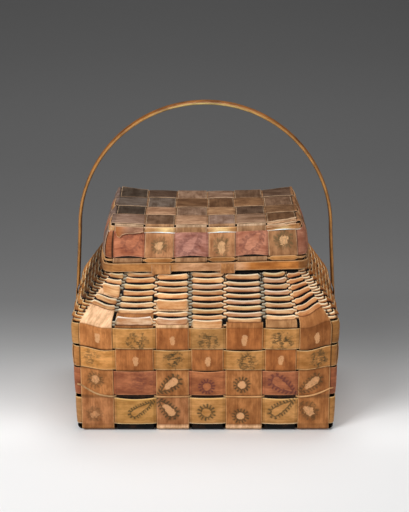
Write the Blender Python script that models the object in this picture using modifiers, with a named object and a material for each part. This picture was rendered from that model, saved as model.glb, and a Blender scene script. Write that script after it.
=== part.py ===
"""A plaited wood-splint basket with a slanting shoulder, a box-shaped lid and a fixed hoop handle.

Units are metres, +Z is up, and the front of the basket faces -Y. The origin is the middle of the
underside. Every splint is one strip of wood that passes over and under the splints it crosses.
"""

import math

import bmesh
import bpy
from mathutils import Vector

COLLECTION_NAME = "lidded_basket"

# Splint stock and the room left between splints that touch
STAKE_THICKNESS = 0.0010
WEFT_THICKNESS = 0.0009
SHOULDER_WEFT_THICKNESS = 0.0007
BINDER_THICKNESS = 0.0006
HOOP_THICKNESS = 0.0018
CLEARANCE = 0.0003
CROSSING_MARGIN = 0.0004
STAKE_GAP = 0.0040
BASE_BEND_RADIUS = 0.0065

# Basket body, measured on the middle of the weave. The walls lean out from the foot up
BODY_FOOT_HALF_WIDTH = 0.1885
BODY_FOOT_HALF_DEPTH = 0.1235
WALL_SIDE_LEAN = 0.0045
WALL_FRONT_LEAN = 0.0010
WALL_CORNER = 0.0070
FRONT_BACK_STAKE_SHARES = (0.139, 0.162, 0.139, 0.136, 0.156, 0.133, 0.135)
SIDE_STAKE_SHARES = (0.2, 0.2, 0.2, 0.2, 0.2)

# Courses of the upright wall, from the foot up
BOTTOM_WEFT_LIFT = 0.0039
BOTTOM_WEFT_HEIGHT = 0.0419
BINDER_WEFT_HEIGHT = 0.0020
BINDER_GAP = 0.0014
RED_WEFT_HEIGHT = 0.0374
LOWER_NARROW_WEFT_HEIGHT = 0.0304
UPPER_NARROW_WEFT_HEIGHT = 0.0318
COURSE_GAP = 0.0025

# Slanting shoulder of narrow wefts, and the upright neck above it. A corner's sizes are along X and Y
SHOULDER_FIRST_TURN = 5
SHOULDER_WEFT_COUNT = 18
SHOULDER_WEFT_HEIGHT = 0.0035
SHOULDER_WEFT_GAP = 0.0006
SHOULDER_SETTLE = 0.0016
SHOULDER_FRONT_INSET = 0.0303
SHOULDER_SIDE_INSET = 0.0502
SHOULDER_EASE_SHARE = 0.15
NECK_BARE_RISE = 0.0147
NECK_HOOP_HEIGHT = 0.0110
NECK_HOOP_LIFT = 0.0010
NECK_HOOP_CORNER = (0.0120, 0.0105)

# Lid, measured on the middle of its weave. Its sides flare out from the top down
LID_SIDE_FLARE = 0.0176
LID_FRONT_FLARE = 0.0066
LID_TOP_CORNER = (0.0045, 0.0030)
LID_BEND_RADIUS = 0.0028
LID_SPLINT_THICKNESS = 0.0009
LID_SPLINT_GAP = 0.0030
LID_FRONT_BACK_SPLINT_SHARES = (0.167, 0.167, 0.179, 0.154, 0.167, 0.166)
LID_SIDE_SPLINT_SHARES = (0.263, 0.223, 0.277, 0.237)
LID_SAG = 0.0040
LID_SEAT_REACH = 0.0009
LID_RIM_HEIGHT = 0.0120
LID_RIM_CORNER = (0.0140, 0.0088)
LID_LOWER_WEFT_HEIGHT = 0.0056
LID_RED_WEFT_HEIGHT = 0.0380
LID_EDGE_WEFT_HEIGHT = 0.0050
LID_EDGE_WEFT_DROP = 0.0034
LID_COURSE_GAP = 0.0020
LID_TAB_HEIGHT = 0.0100
LID_TAB_SPAN_SHARES = {2: (0.20, 0.87), 4: (0.45, 1.00)}

# Bent-wood handle
HANDLE_WIDTH = 0.0180
HANDLE_THICKNESS = 0.0052
HANDLE_SPRING_INSET = 0.0030
HANDLE_SPRING_LIFT = 0.1098
HANDLE_ARCH_RISE = 0.1945
HANDLE_TONGUE_THICKNESS = 0.0018
HANDLE_TONGUE_STANDOFF = 0.0019
HANDLE_TONGUE_LIFT = 0.0137
HANDLE_THINNING_LENGTH = 0.0120
HANDLE_SHOULDER_LIFT = 0.0135
HANDLE_ARC_STEPS = 36

CORNER_STEPS = 3
SHOULDER_CORNER_STEPS = 2
BEND_STEPS = 3
EASE_STEPS = 3

# Heights and offsets worked out from the sizes above
BASE_SWING = (STAKE_THICKNESS + CLEARANCE) / 2
WALL_SWING = ((STAKE_THICKNESS + WEFT_THICKNESS) / 2 + CLEARANCE) / 2
SHOULDER_SWING = (STAKE_THICKNESS + SHOULDER_WEFT_THICKNESS) / 2 + CLEARANCE
BINDER_SWING = WALL_SWING + (STAKE_THICKNESS + BINDER_THICKNESS) / 2 + CLEARANCE
LID_SWING = (LID_SPLINT_THICKNESS + CLEARANCE) / 2
BASE_HEIGHT = BASE_SWING + STAKE_THICKNESS / 2
BODY_TOP_HALF_WIDTH = BODY_FOOT_HALF_WIDTH + WALL_SIDE_LEAN
BODY_TOP_HALF_DEPTH = BODY_FOOT_HALF_DEPTH + WALL_FRONT_LEAN
BOTTOM_WEFT_FOOT = BASE_HEIGHT + BASE_BEND_RADIUS + BOTTOM_WEFT_LIFT
BINDER_FOOT = BOTTOM_WEFT_FOOT + BOTTOM_WEFT_HEIGHT + BINDER_GAP
RED_WEFT_FOOT = BINDER_FOOT + BINDER_WEFT_HEIGHT + BINDER_GAP
LOWER_NARROW_WEFT_FOOT = RED_WEFT_FOOT + RED_WEFT_HEIGHT + COURSE_GAP
UPPER_NARROW_WEFT_FOOT = LOWER_NARROW_WEFT_FOOT + LOWER_NARROW_WEFT_HEIGHT + COURSE_GAP
WALL_TOP = UPPER_NARROW_WEFT_FOOT + UPPER_NARROW_WEFT_HEIGHT + CROSSING_MARGIN
SHOULDER_FOOT = WALL_TOP + SHOULDER_SETTLE
SHOULDER_WEFT_PITCH = SHOULDER_WEFT_HEIGHT + SHOULDER_WEFT_GAP
SHOULDER_WEFTS_TOP = SHOULDER_FOOT + SHOULDER_WEFT_COUNT * SHOULDER_WEFT_PITCH
NECK_FOOT = SHOULDER_WEFTS_TOP + NECK_BARE_RISE
NECK_TOP = NECK_FOOT + NECK_HOOP_LIFT + NECK_HOOP_HEIGHT
SHOULDER_RISE = NECK_FOOT - SHOULDER_FOOT
HANDLE_HALF_SPAN = BODY_TOP_HALF_WIDTH - HANDLE_SPRING_INSET
HANDLE_SPRING_HEIGHT = SHOULDER_FOOT + HANDLE_SPRING_LIFT
HANDLE_TONGUE_FOOT = RED_WEFT_FOOT + HANDLE_TONGUE_LIFT

# The four upright faces in the order a weft meets them: outward direction and way of travel
FRONT, RIGHT, BACK, LEFT = range(4)
OUTWARD = (Vector((0, -1, 0)), Vector((1, 0, 0)), Vector((0, 1, 0)), Vector((-1, 0, 0)))
TRAVEL = (1, 1, -1, -1)


def eased_share(share, ease):
    """Progress from 0 to 1 along a straight run that bends in and out over the share ease."""
    if share <= 0:
        return 0.0
    if share >= 1:
        return 1.0
    if share < ease:
        return share ** 2 / (2 * ease * (1 - ease))
    if share > 1 - ease:
        return 1 - (1 - share) ** 2 / (2 * ease * (1 - ease))
    return (share - ease / 2) / (1 - ease)


def eased_slope(share, ease):
    """Rate at which eased_share grows."""
    if share <= 0 or share >= 1:
        return 0.0
    return min(share / ease, (1 - share) / ease, 1.0) / (1 - ease)


def spans_between(outer, width_shares, gap):
    """Low and high edges of strips laid side by side from -outer to outer, with a gap between them."""
    wood_width = 2 * outer - gap * (len(width_shares) - 1)
    position = -outer
    spans = []
    for share in width_shares:
        width = wood_width * share / sum(width_shares)
        spans.append((position, position + width))
        position += width + gap
    return spans


class BodyShell:
    """Middle surface of the basket's weave: lean of the wall, slant of the shoulder, draw of the stakes."""

    floor = BASE_HEIGHT
    rise = 1
    bend = BASE_BEND_RADIUS
    hoop_corner = NECK_HOOP_CORNER
    floor_swing = BASE_SWING
    wall_swing = WALL_SWING
    columns = spans_between(BODY_FOOT_HALF_WIDTH - WALL_CORNER, FRONT_BACK_STAKE_SHARES, STAKE_GAP)
    rows = spans_between(BODY_FOOT_HALF_DEPTH - WALL_CORNER, SIDE_STAKE_SHARES, STAKE_GAP)
    gap = STAKE_GAP

    def shoulder_share(self, height):
        return eased_share((height - SHOULDER_FOOT) / SHOULDER_RISE, SHOULDER_EASE_SHARE)

    def half_size(self, face, height):
        """Distance of a face's middle surface from the basket's axis at a height."""
        lean = min(height / SHOULDER_FOOT, 1)
        if face in (LEFT, RIGHT):
            foot, top, inset = BODY_FOOT_HALF_WIDTH, BODY_TOP_HALF_WIDTH, SHOULDER_SIDE_INSET
        else:
            foot, top, inset = BODY_FOOT_HALF_DEPTH, BODY_TOP_HALF_DEPTH, SHOULDER_FRONT_INSET
        return foot + (top - foot) * lean - inset * self.shoulder_share(height)

    def tilt(self, face, height):
        """Angle by which a face leans inwards at a height."""
        inset = SHOULDER_SIDE_INSET if face in (LEFT, RIGHT) else SHOULDER_FRONT_INSET
        share = (height - SHOULDER_FOOT) / SHOULDER_RISE
        return math.atan(inset / SHOULDER_RISE * eased_slope(share, SHOULDER_EASE_SHARE))

    def neck_reach(self, face):
        """Edge of the outermost stake at the neck, just short of the hoops' corners."""
        if face in (FRONT, BACK):
            return self.half_size(RIGHT, NECK_FOOT) - NECK_HOOP_CORNER[0] - CROSSING_MARGIN
        return self.half_size(FRONT, NECK_FOOT) - NECK_HOOP_CORNER[1] - CROSSING_MARGIN

    def spans(self, face, height):
        """Edges of the stakes on a face, the outer ones drawn in most as the shoulder narrows."""
        flat_spans = self.columns if face in (FRONT, BACK) else self.rows
        outer = flat_spans[-1][1]
        draw = (1 - self.neck_reach(face) / outer) * self.shoulder_share(height)

        def drawn(position):
            return position * (1 - draw * (position / outer) ** 2)

        drawn_spans = []
        for index, (low, high) in enumerate(flat_spans):
            first = index == 0
            last = index == len(flat_spans) - 1
            new_low = drawn(low) if first else drawn(low - self.gap / 2) + self.gap / 2
            new_high = drawn(high) if last else drawn(high + self.gap / 2) - self.gap / 2
            drawn_spans.append((new_low, new_high))
        return drawn_spans

    def settle(self, point):
        return point


BODY = BodyShell()

# The lid's hoops rest on the top shoulder weft, and grip the ends of the lid's splints between them
SEAT_TILT = BODY.tilt(RIGHT, SHOULDER_WEFTS_TOP)
LID_SEAT = (SHOULDER_WEFTS_TOP - SHOULDER_WEFT_GAP / 2 + CLEARANCE
            + (SHOULDER_SWING + SHOULDER_WEFT_THICKNESS / 2) * math.sin(SEAT_TILT))
LID_HOOP_REACH = LID_SPLINT_THICKNESS / 2 + CLEARANCE + HOOP_THICKNESS
LID_RIM_HALF_WIDTH = BODY.half_size(RIGHT, LID_SEAT) + LID_SEAT_REACH + LID_HOOP_REACH
LID_RIM_HALF_DEPTH = BODY.half_size(FRONT, LID_SEAT) + LID_SEAT_REACH + LID_HOOP_REACH
LID_TOP_HALF_WIDTH = LID_RIM_HALF_WIDTH - LID_SIDE_FLARE
LID_TOP_HALF_DEPTH = LID_RIM_HALF_DEPTH - LID_FRONT_FLARE
LID_LOWER_WEFT_FOOT = LID_SEAT + LID_RIM_HEIGHT + LID_COURSE_GAP
LID_RED_WEFT_FOOT = LID_LOWER_WEFT_FOOT + LID_LOWER_WEFT_HEIGHT + LID_COURSE_GAP
LID_EDGE_WEFT_FOOT = LID_RED_WEFT_FOOT + LID_RED_WEFT_HEIGHT + LID_COURSE_GAP
LID_TOP = LID_EDGE_WEFT_FOOT + LID_EDGE_WEFT_HEIGHT + LID_EDGE_WEFT_DROP
LID_HEIGHT = LID_TOP - LID_SEAT


class LidShell:
    """Middle surface of the lid's weave: a shallow box that sags on top and swells towards its rim."""

    floor = LID_TOP
    rise = -1
    bend = LID_BEND_RADIUS
    hoop_corner = LID_RIM_CORNER
    floor_swing = LID_SWING
    wall_swing = LID_SWING
    columns = spans_between(LID_TOP_HALF_WIDTH - LID_TOP_CORNER[0], LID_FRONT_BACK_SPLINT_SHARES,
                            LID_SPLINT_GAP)
    rows = spans_between(LID_TOP_HALF_DEPTH - LID_TOP_CORNER[1], LID_SIDE_SPLINT_SHARES,
                         LID_SPLINT_GAP)

    def top_and_rim(self, face):
        if face in (LEFT, RIGHT):
            return LID_TOP_HALF_WIDTH, LID_RIM_HALF_WIDTH
        return LID_TOP_HALF_DEPTH, LID_RIM_HALF_DEPTH

    def half_size(self, face, height):
        """The sides spread quickly under the top and stand upright at the rim."""
        top, rim = self.top_and_rim(face)
        rise_share = (height - LID_SEAT) / LID_HEIGHT
        return rim - (rim - top) * rise_share ** 2

    def tilt(self, face, height):
        top, rim = self.top_and_rim(face)
        rise_share = (height - LID_SEAT) / LID_HEIGHT
        return math.atan(2 * (rim - top) / LID_HEIGHT * rise_share)

    def spans(self, face, height):
        return self.columns if face in (FRONT, BACK) else self.rows

    def settle(self, point):
        """The top's middle hangs lowest, and the sag fades out down to the rim."""
        across_share = min(abs(point.x) / LID_TOP_HALF_WIDTH, 1)
        height_share = max((point.z - LID_SEAT - LID_RIM_HEIGHT) / (LID_HEIGHT - LID_RIM_HEIGHT), 0)
        return point - Vector((0, 0, LID_SAG * (1 - across_share ** 2) * height_share))


LID = LidShell()


def face_point(shell, face, along, height, offset):
    """A point on a face of the shell, moved outwards by offset square to the surface."""
    outward = OUTWARD[face]
    sideways = Vector((0, 1, 0)) if face in (LEFT, RIGHT) else Vector((1, 0, 0))
    tilt = shell.tilt(face, height)
    normal = outward * math.cos(tilt) + Vector((0, 0, math.sin(tilt)))
    on_surface = outward * shell.half_size(face, height) + sideways * along + Vector((0, 0, height))
    return on_surface + normal * offset


def corner_points(face, end, start, steps):
    """Points round an upright corner, on a quarter ellipse from one face's end to the next one's start."""
    if face in (FRONT, BACK):
        centre = Vector((end.x, start.y, 0))
    else:
        centre = Vector((start.x, end.y, 0))
    points = []
    for step in range(1, steps):
        angle = math.pi / 2 * step / steps
        point = (centre + (end - centre) * math.cos(angle) + (start - centre) * math.sin(angle))
        point.z = end.z + (start.z - end.z) * step / steps
        points.append(point)
    return points


def ring_points(shell, height, offset_of, steps, tongue=None):
    """One edge of a weft: its points round the shell at a height, two at every stake it crosses."""
    faces = []
    position = 0
    for face in (FRONT, RIGHT, BACK, LEFT):
        spans = shell.spans(face, height)
        if TRAVEL[face] < 0:
            spans = [(high, low) for low, high in reversed(spans)]
        points = []
        for index, (start, end) in enumerate(spans):
            offset = offset_of(position)
            reach = CROSSING_MARGIN * TRAVEL[face]
            stations = [(start - reach, offset), (end + reach, offset)]
            middle = index == len(spans) // 2 and face in (LEFT, RIGHT)
            if tongue and middle and offset > 0:
                half_width, bulge = tongue
                stations[1:1] = [(-half_width * TRAVEL[face], bulge), (half_width * TRAVEL[face], bulge)]
            for along, station_offset in stations:
                points.append(face_point(shell, face, along, height, station_offset))
            position += 1
        faces.append(points)
    ring = []
    for face, points in enumerate(faces):
        ring += points
        ring += corner_points(face, points[-1], faces[(face + 1) % 4][0], steps)
    return [shell.settle(point) for point in ring]


def woven_offset(swing, turn):
    """A weft lies outside every second stake, and its neighbours above and below do the opposite."""
    def offset_of(position):
        return swing if (position + turn) % 2 else -swing
    return offset_of


def wall_stations(shell, offset, courses, ends):
    """Heights and offsets of a stake up its wall: flat across each weft, then on through its ends."""
    stations = []
    for turn, foot, top in courses:
        turned = -offset * shell.wall_swing if turn % 2 == 0 else offset * shell.wall_swing
        near, far = (foot, top) if shell.rise > 0 else (top, foot)
        stations.append((near - CROSSING_MARGIN * shell.rise, turned))
        stations.append((far + CROSSING_MARGIN * shell.rise, turned))
    return stations + ends


def stake_pairs(shell, faces, index, courses, ends):
    """Both edges of a stake, from the end of one wall, across the floor, to the end of the other."""
    first_face, last_face = faces
    crossings = shell.rows if first_face in (FRONT, BACK) else shell.columns
    across_x = first_face in (FRONT, BACK)

    def level(crossing):
        """-1 where the stake lies on the inner side of its crossing, and 1 on the outer side."""
        inner = (index + crossing) % 2 == 0
        if not across_x:
            inner = not inner
        return -1 if inner else 1

    def wall(face, crossing):
        pairs = []
        for height, offset in wall_stations(shell, level(crossing), courses, ends):
            edges = shell.spans(face, height)[index]
            pairs.append(tuple(face_point(shell, face, along, height, offset) for along in edges))
        return pairs

    def bend(face, crossing):
        """A quarter turn from floor to wall, in which the stake changes to the other side of the weave."""
        centre_height = shell.floor + shell.rise * shell.bend
        reach = shell.half_size(face, centre_height) - shell.bend
        edges = shell.spans(face, centre_height)[index]
        sideways = Vector((1, 0, 0)) if across_x else Vector((0, 1, 0))
        pairs = []
        for step in range(BEND_STEPS + 1):
            share = step / BEND_STEPS
            angle = math.pi / 2 * share
            offset = level(crossing) * (shell.floor_swing * (1 - share) - shell.wall_swing * share)
            radius = shell.bend + offset
            centre = OUTWARD[face] * (reach + radius * math.sin(angle))
            centre.z = centre_height - shell.rise * radius * math.cos(angle)
            pairs.append(tuple(centre + sideways * along for along in edges))
        return pairs

    floor = []
    low, high = (shell.columns if across_x else shell.rows)[index]
    for crossing, span in enumerate(crossings):
        height = shell.floor - shell.rise * shell.floor_swing * level(crossing)
        for place in (span[0] - CROSSING_MARGIN, span[1] + CROSSING_MARGIN):
            if across_x:
                floor.append((Vector((low, place, height)), Vector((high, place, height))))
            else:
                floor.append((Vector((place, low, height)), Vector((place, high, height))))

    last = len(crossings) - 1
    path = wall(first_face, 0)[::-1] + bend(first_face, 0)[::-1] + floor
    path += bend(last_face, last) + wall(last_face, last)
    return [(shell.settle(low_point), shell.settle(high_point)) for low_point, high_point in path]


def linear_colour(red, green, blue):
    """A colour given as seen on a screen, from 0 to 255, in the scene's linear values."""
    return tuple((channel / 255) ** 2.2 for channel in (red, green, blue)) + (1.0,)


def wood(name, colour, roughness):
    material = bpy.data.materials.new(name)
    material.use_nodes = True
    shader = material.node_tree.nodes["Principled BSDF"]
    shader.inputs["Base Color"].default_value = colour
    shader.inputs["Roughness"].default_value = roughness
    shader.inputs["Metallic"].default_value = 0.0
    return material


def add_object(name, data, carrier, material, collection):
    item = bpy.data.objects.new(name, data)
    item.parent = carrier
    data.materials.append(material)
    collection.objects.link(item)
    return item


def add_strip(name, pairs, closed, thickness, carrier, material, collection):
    """A strip of wood: the surface between its two edges, with its thickness shared to both sides."""
    mesh = bpy.data.meshes.new(name)
    builder = bmesh.new()
    rungs = []
    for pair in pairs:
        rungs.append([builder.verts.new(point - carrier.location) for point in pair])
    for index in range(len(rungs) if closed else len(rungs) - 1):
        near, far = rungs[index], rungs[(index + 1) % len(rungs)]
        builder.faces.new((near[0], far[0], far[1], near[1]))
    bmesh.ops.recalc_face_normals(builder, faces=builder.faces)
    builder.to_mesh(mesh)
    builder.free()
    item = add_object(name, mesh, carrier, material, collection)
    solid = item.modifiers.new("Thickness", "SOLIDIFY")
    solid.thickness = thickness
    solid.offset = 0
    solid.use_even_offset = True
    return item


def add_weft(name, shell, foot, height, offset_of, thickness, steps, place, tongue=None):
    lower = ring_points(shell, foot, offset_of, steps, tongue)
    upper = ring_points(shell, foot + height, offset_of, steps, tongue)
    return add_strip(name, list(zip(lower, upper)), True, thickness, *place)


def add_body_stakes(carrier, materials, collection):
    """Seven stakes from front to back and five from side to side, plaited across the base."""
    courses = [(0, BOTTOM_WEFT_FOOT, BOTTOM_WEFT_FOOT + BOTTOM_WEFT_HEIGHT),
               (2, RED_WEFT_FOOT, RED_WEFT_FOOT + RED_WEFT_HEIGHT),
               (3, LOWER_NARROW_WEFT_FOOT, LOWER_NARROW_WEFT_FOOT + LOWER_NARROW_WEFT_HEIGHT),
               (4, UPPER_NARROW_WEFT_FOOT, UPPER_NARROW_WEFT_FOOT + UPPER_NARROW_WEFT_HEIGHT)]
    ease = SHOULDER_RISE * SHOULDER_EASE_SHARE
    heights = [SHOULDER_FOOT + ease * step / EASE_STEPS for step in range(EASE_STEPS + 1)]
    heights += [NECK_FOOT - ease * step / EASE_STEPS for step in range(EASE_STEPS, -1, -1)]
    ends = [(height, 0) for height in heights + [NECK_TOP]]
    for index in range(len(FRONT_BACK_STAKE_SHARES)):
        pairs = stake_pairs(BODY, (FRONT, BACK), index, courses, ends)
        add_strip(f"front_back_stake_{index + 1}", pairs, False, STAKE_THICKNESS,
                  carrier, materials["stake"], collection)
    for index in range(len(SIDE_STAKE_SHARES)):
        pairs = stake_pairs(BODY, (LEFT, RIGHT), index, courses, ends)
        add_strip(f"side_stake_{index + 1}", pairs, False, STAKE_THICKNESS,
                  carrier, materials["stake"], collection)


def add_wall_wefts(carrier, materials, collection):
    """Four wide wefts and a narrow binder. Those that hold the handle's tongues bulge over them."""
    bulge = (HANDLE_TONGUE_STANDOFF + HANDLE_TONGUE_THICKNESS + CLEARANCE + WEFT_THICKNESS / 2)
    tongue = (HANDLE_WIDTH / 2 + CROSSING_MARGIN, bulge)
    wefts = [("bottom_yellow_weft", BOTTOM_WEFT_FOOT, BOTTOM_WEFT_HEIGHT, 0, "yellow", None),
             ("red_weft", RED_WEFT_FOOT, RED_WEFT_HEIGHT, 2, "red", tongue),
             ("lower_narrow_weft", LOWER_NARROW_WEFT_FOOT, LOWER_NARROW_WEFT_HEIGHT, 3, "yellow", None),
             ("upper_narrow_weft", UPPER_NARROW_WEFT_FOOT, UPPER_NARROW_WEFT_HEIGHT, 4, "yellow", tongue)]
    for name, foot, height, turn, tone, held in wefts:
        add_weft(name, BODY, foot, height, woven_offset(WALL_SWING, turn), WEFT_THICKNESS,
                 CORNER_STEPS, (carrier, materials[tone], collection), held)
    add_weft("binder_weft", BODY, BINDER_FOOT, BINDER_WEFT_HEIGHT, woven_offset(BINDER_SWING, 1),
             BINDER_THICKNESS, CORNER_STEPS, (carrier, materials["stake"], collection))


def add_shoulder_wefts(carrier, materials, collection):
    """Narrow undyed wefts that draw the basket in from its wall to its neck."""
    for index in range(SHOULDER_WEFT_COUNT):
        foot = SHOULDER_FOOT + SHOULDER_WEFT_GAP / 2 + index * SHOULDER_WEFT_PITCH
        add_weft(f"shoulder_weft_{index + 1:02d}", BODY, foot, SHOULDER_WEFT_HEIGHT,
                 woven_offset(SHOULDER_SWING, SHOULDER_FIRST_TURN + index), SHOULDER_WEFT_THICKNESS,
                 SHOULDER_CORNER_STEPS, (carrier, materials["plain"], collection))


def hoop_points(shell, height, offset, steps):
    """One edge of a hoop: straight along each face and round each corner."""
    ends = []
    for face in (FRONT, RIGHT, BACK, LEFT):
        corner = shell.hoop_corner[0 if face in (FRONT, BACK) else 1]
        straight = (shell.half_size((face + 1) % 4, height) - corner) * TRAVEL[face]
        ends.append([face_point(shell, face, along, height, offset) for along in (-straight, straight)])
    ring = []
    for face, points in enumerate(ends):
        ring += points
        ring += corner_points(face, points[-1], ends[(face + 1) % 4][0], steps)
    return [shell.settle(point) for point in ring]


def add_hoops(prefix, shell, foot, height, stock, place):
    """A pair of hoops that grip the ends of the stakes between them."""
    grip = stock / 2 + CLEARANCE + HOOP_THICKNESS / 2
    for name, side in (("outer", 1), ("inner", -1)):
        lower = hoop_points(shell, foot, side * grip, CORNER_STEPS + 1)
        upper = hoop_points(shell, foot + height, side * grip, CORNER_STEPS + 1)
        add_strip(f"{prefix}_{name}_hoop", list(zip(lower, upper)), True, HOOP_THICKNESS, *place)


def tab_pairs(index, span_shares):
    """The end of a lid splint, turned under the outer hoop and up its face."""
    low, high = LID.spans(FRONT, LID_SEAT)[index]
    width = high - low
    low, high = low + width * span_shares[0], low + width * span_shares[1]
    under = LID_SEAT - CLEARANCE - LID_SPLINT_THICKNESS / 2
    outside = LID_SPLINT_THICKNESS + 2 * CLEARANCE + HOOP_THICKNESS
    stations = [(under, 0), (under, outside), (LID_SEAT + LID_TAB_HEIGHT, outside)]
    return [tuple(face_point(LID, FRONT, along, height, offset) for along in (low, high))
            for height, offset in stations]


def add_lid_splints(carrier, materials, collection):
    """Six splints from front to back and four from side to side, plaited across the lid's top."""
    courses = [(0, LID_EDGE_WEFT_FOOT, LID_EDGE_WEFT_FOOT + LID_EDGE_WEFT_HEIGHT),
               (1, LID_RED_WEFT_FOOT, LID_RED_WEFT_FOOT + LID_RED_WEFT_HEIGHT),
               (2, LID_LOWER_WEFT_FOOT, LID_LOWER_WEFT_FOOT + LID_LOWER_WEFT_HEIGHT)]
    ends = [(LID_SEAT + LID_RIM_HEIGHT, 0), (LID_SEAT, 0)]
    for index in range(len(LID_FRONT_BACK_SPLINT_SHARES)):
        pairs = stake_pairs(LID, (FRONT, BACK), index, courses, ends)
        if index + 1 in LID_TAB_SPAN_SHARES:
            pairs = tab_pairs(index, LID_TAB_SPAN_SHARES[index + 1])[::-1] + pairs
        add_strip(f"lid_front_back_splint_{index + 1}", pairs, False, LID_SPLINT_THICKNESS,
                  carrier, materials["lid"], collection)
    for index in range(len(LID_SIDE_SPLINT_SHARES)):
        pairs = stake_pairs(LID, (LEFT, RIGHT), index, courses, ends)
        add_strip(f"lid_side_splint_{index + 1}", pairs, False, LID_SPLINT_THICKNESS,
                  carrier, materials["lid"], collection)


def add_lid_wefts(carrier, materials, collection):
    wefts = [("lid_edge_weft", LID_EDGE_WEFT_FOOT, LID_EDGE_WEFT_HEIGHT, 0, "yellow"),
             ("lid_red_weft", LID_RED_WEFT_FOOT, LID_RED_WEFT_HEIGHT, 1, "red"),
             ("lid_lower_weft", LID_LOWER_WEFT_FOOT, LID_LOWER_WEFT_HEIGHT, 2, "yellow")]
    for name, foot, height, turn, tone in wefts:
        add_weft(name, LID, foot, height, woven_offset(LID_SWING, turn), LID_SPLINT_THICKNESS,
                 CORNER_STEPS, (carrier, materials[tone], collection))


def handle_outline():
    """The handle seen from the front: its outer edge from left to right, then its inner edge back."""
    tongue_outer = HANDLE_TONGUE_STANDOFF + HANDLE_TONGUE_THICKNESS
    shoulder_top = SHOULDER_FOOT + HANDLE_SHOULDER_LIFT
    full_top = shoulder_top + HANDLE_THINNING_LENGTH
    seat_x = BODY.half_size(RIGHT, SHOULDER_FOOT) + tongue_outer

    def leg_x(height):
        """Outer edge of the straight leg between the wall's top and the spring of the arch."""
        share = (height - SHOULDER_FOOT) / (HANDLE_SPRING_HEIGHT - SHOULDER_FOOT)
        return seat_x + (HANDLE_HALF_SPAN - seat_x) * share

    foot_x = BODY.half_size(RIGHT, HANDLE_TONGUE_FOOT) + tongue_outer
    outer = [(foot_x, HANDLE_TONGUE_FOOT), (seat_x, SHOULDER_FOOT), (leg_x(full_top), full_top)]
    inner = [(foot_x - HANDLE_TONGUE_THICKNESS, HANDLE_TONGUE_FOOT),
             (seat_x - HANDLE_TONGUE_THICKNESS, SHOULDER_FOOT),
             (leg_x(shoulder_top) - HANDLE_TONGUE_THICKNESS, shoulder_top),
             (leg_x(full_top) - HANDLE_THICKNESS, full_top)]

    def arch(depth):
        points = []
        for step in range(HANDLE_ARC_STEPS + 1):
            angle = math.pi * step / HANDLE_ARC_STEPS
            points.append((-(HANDLE_HALF_SPAN - depth) * math.cos(angle),
                           HANDLE_SPRING_HEIGHT + (HANDLE_ARCH_RISE - depth) * math.sin(angle)))
        return points

    def mirrored(points):
        return [(-x, z) for x, z in points]

    outer_edge = mirrored(outer) + arch(0) + outer[::-1]
    inner_edge = mirrored(inner) + arch(HANDLE_THICKNESS) + inner[::-1]
    return outer_edge + inner_edge[::-1]


def add_handle(carrier, materials, collection):
    """One bent strip whose thinned ends are pushed down between the side stakes and two wefts."""
    outline = handle_outline()
    curve = bpy.data.curves.new("handle", "CURVE")
    curve.dimensions = "2D"
    curve.fill_mode = "BOTH"
    curve.extrude = HANDLE_WIDTH / 2
    spline = curve.splines.new("POLY")
    spline.points.add(len(outline) - 1)
    for point, (x, z) in zip(spline.points, outline):
        point.co = (x, z, 0, 1)
    spline.use_cyclic_u = True
    item = add_object("handle", curve, carrier, materials["handle"], collection)
    item.rotation_euler = (math.pi / 2, 0, 0)


def add_carrier(name, height, collection):
    carrier = bpy.data.objects.new(name, None)
    carrier.location = (0, 0, height)
    collection.objects.link(carrier)
    return carrier


def main():
    for item in list(bpy.data.objects):
        bpy.data.objects.remove(item, do_unlink=True)
    collection = bpy.data.collections.new(COLLECTION_NAME)
    bpy.context.scene.collection.children.link(collection)
    materials = {"stake": wood("tan_stake_splint", linear_colour(172, 115, 66), 0.55),
                 "yellow": wood("yellow_splint", linear_colour(190, 140, 75), 0.5),
                 "red": wood("red_splint", linear_colour(170, 95, 65), 0.5),
                 "plain": wood("undyed_splint", linear_colour(212, 165, 118), 0.5),
                 "lid": wood("dark_lid_splint", linear_colour(120, 98, 80), 0.55),
                 "hoop": wood("hoop_wood", linear_colour(190, 130, 75), 0.5),
                 "handle": wood("handle_wood", linear_colour(150, 90, 45), 0.4)}
    body = add_carrier("basket_body", 0, collection)
    lid = add_carrier("lid_lift_axis", LID_SEAT, collection)
    add_body_stakes(body, materials, collection)
    add_wall_wefts(body, materials, collection)
    add_shoulder_wefts(body, materials, collection)
    add_hoops("neck", BODY, NECK_FOOT + NECK_HOOP_LIFT, NECK_HOOP_HEIGHT, STAKE_THICKNESS,
              (body, materials["hoop"], collection))
    add_handle(body, materials, collection)
    add_lid_splints(lid, materials, collection)
    add_lid_wefts(lid, materials, collection)
    add_hoops("lid_rim", LID, LID_SEAT, LID_RIM_HEIGHT, LID_SPLINT_THICKNESS,
              (lid, materials["hoop"], collection))


main()
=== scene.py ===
"""Looks of the plaited lidded basket: every splint, hoop and the handle, finer than in the frame."""

import math
import random

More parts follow.
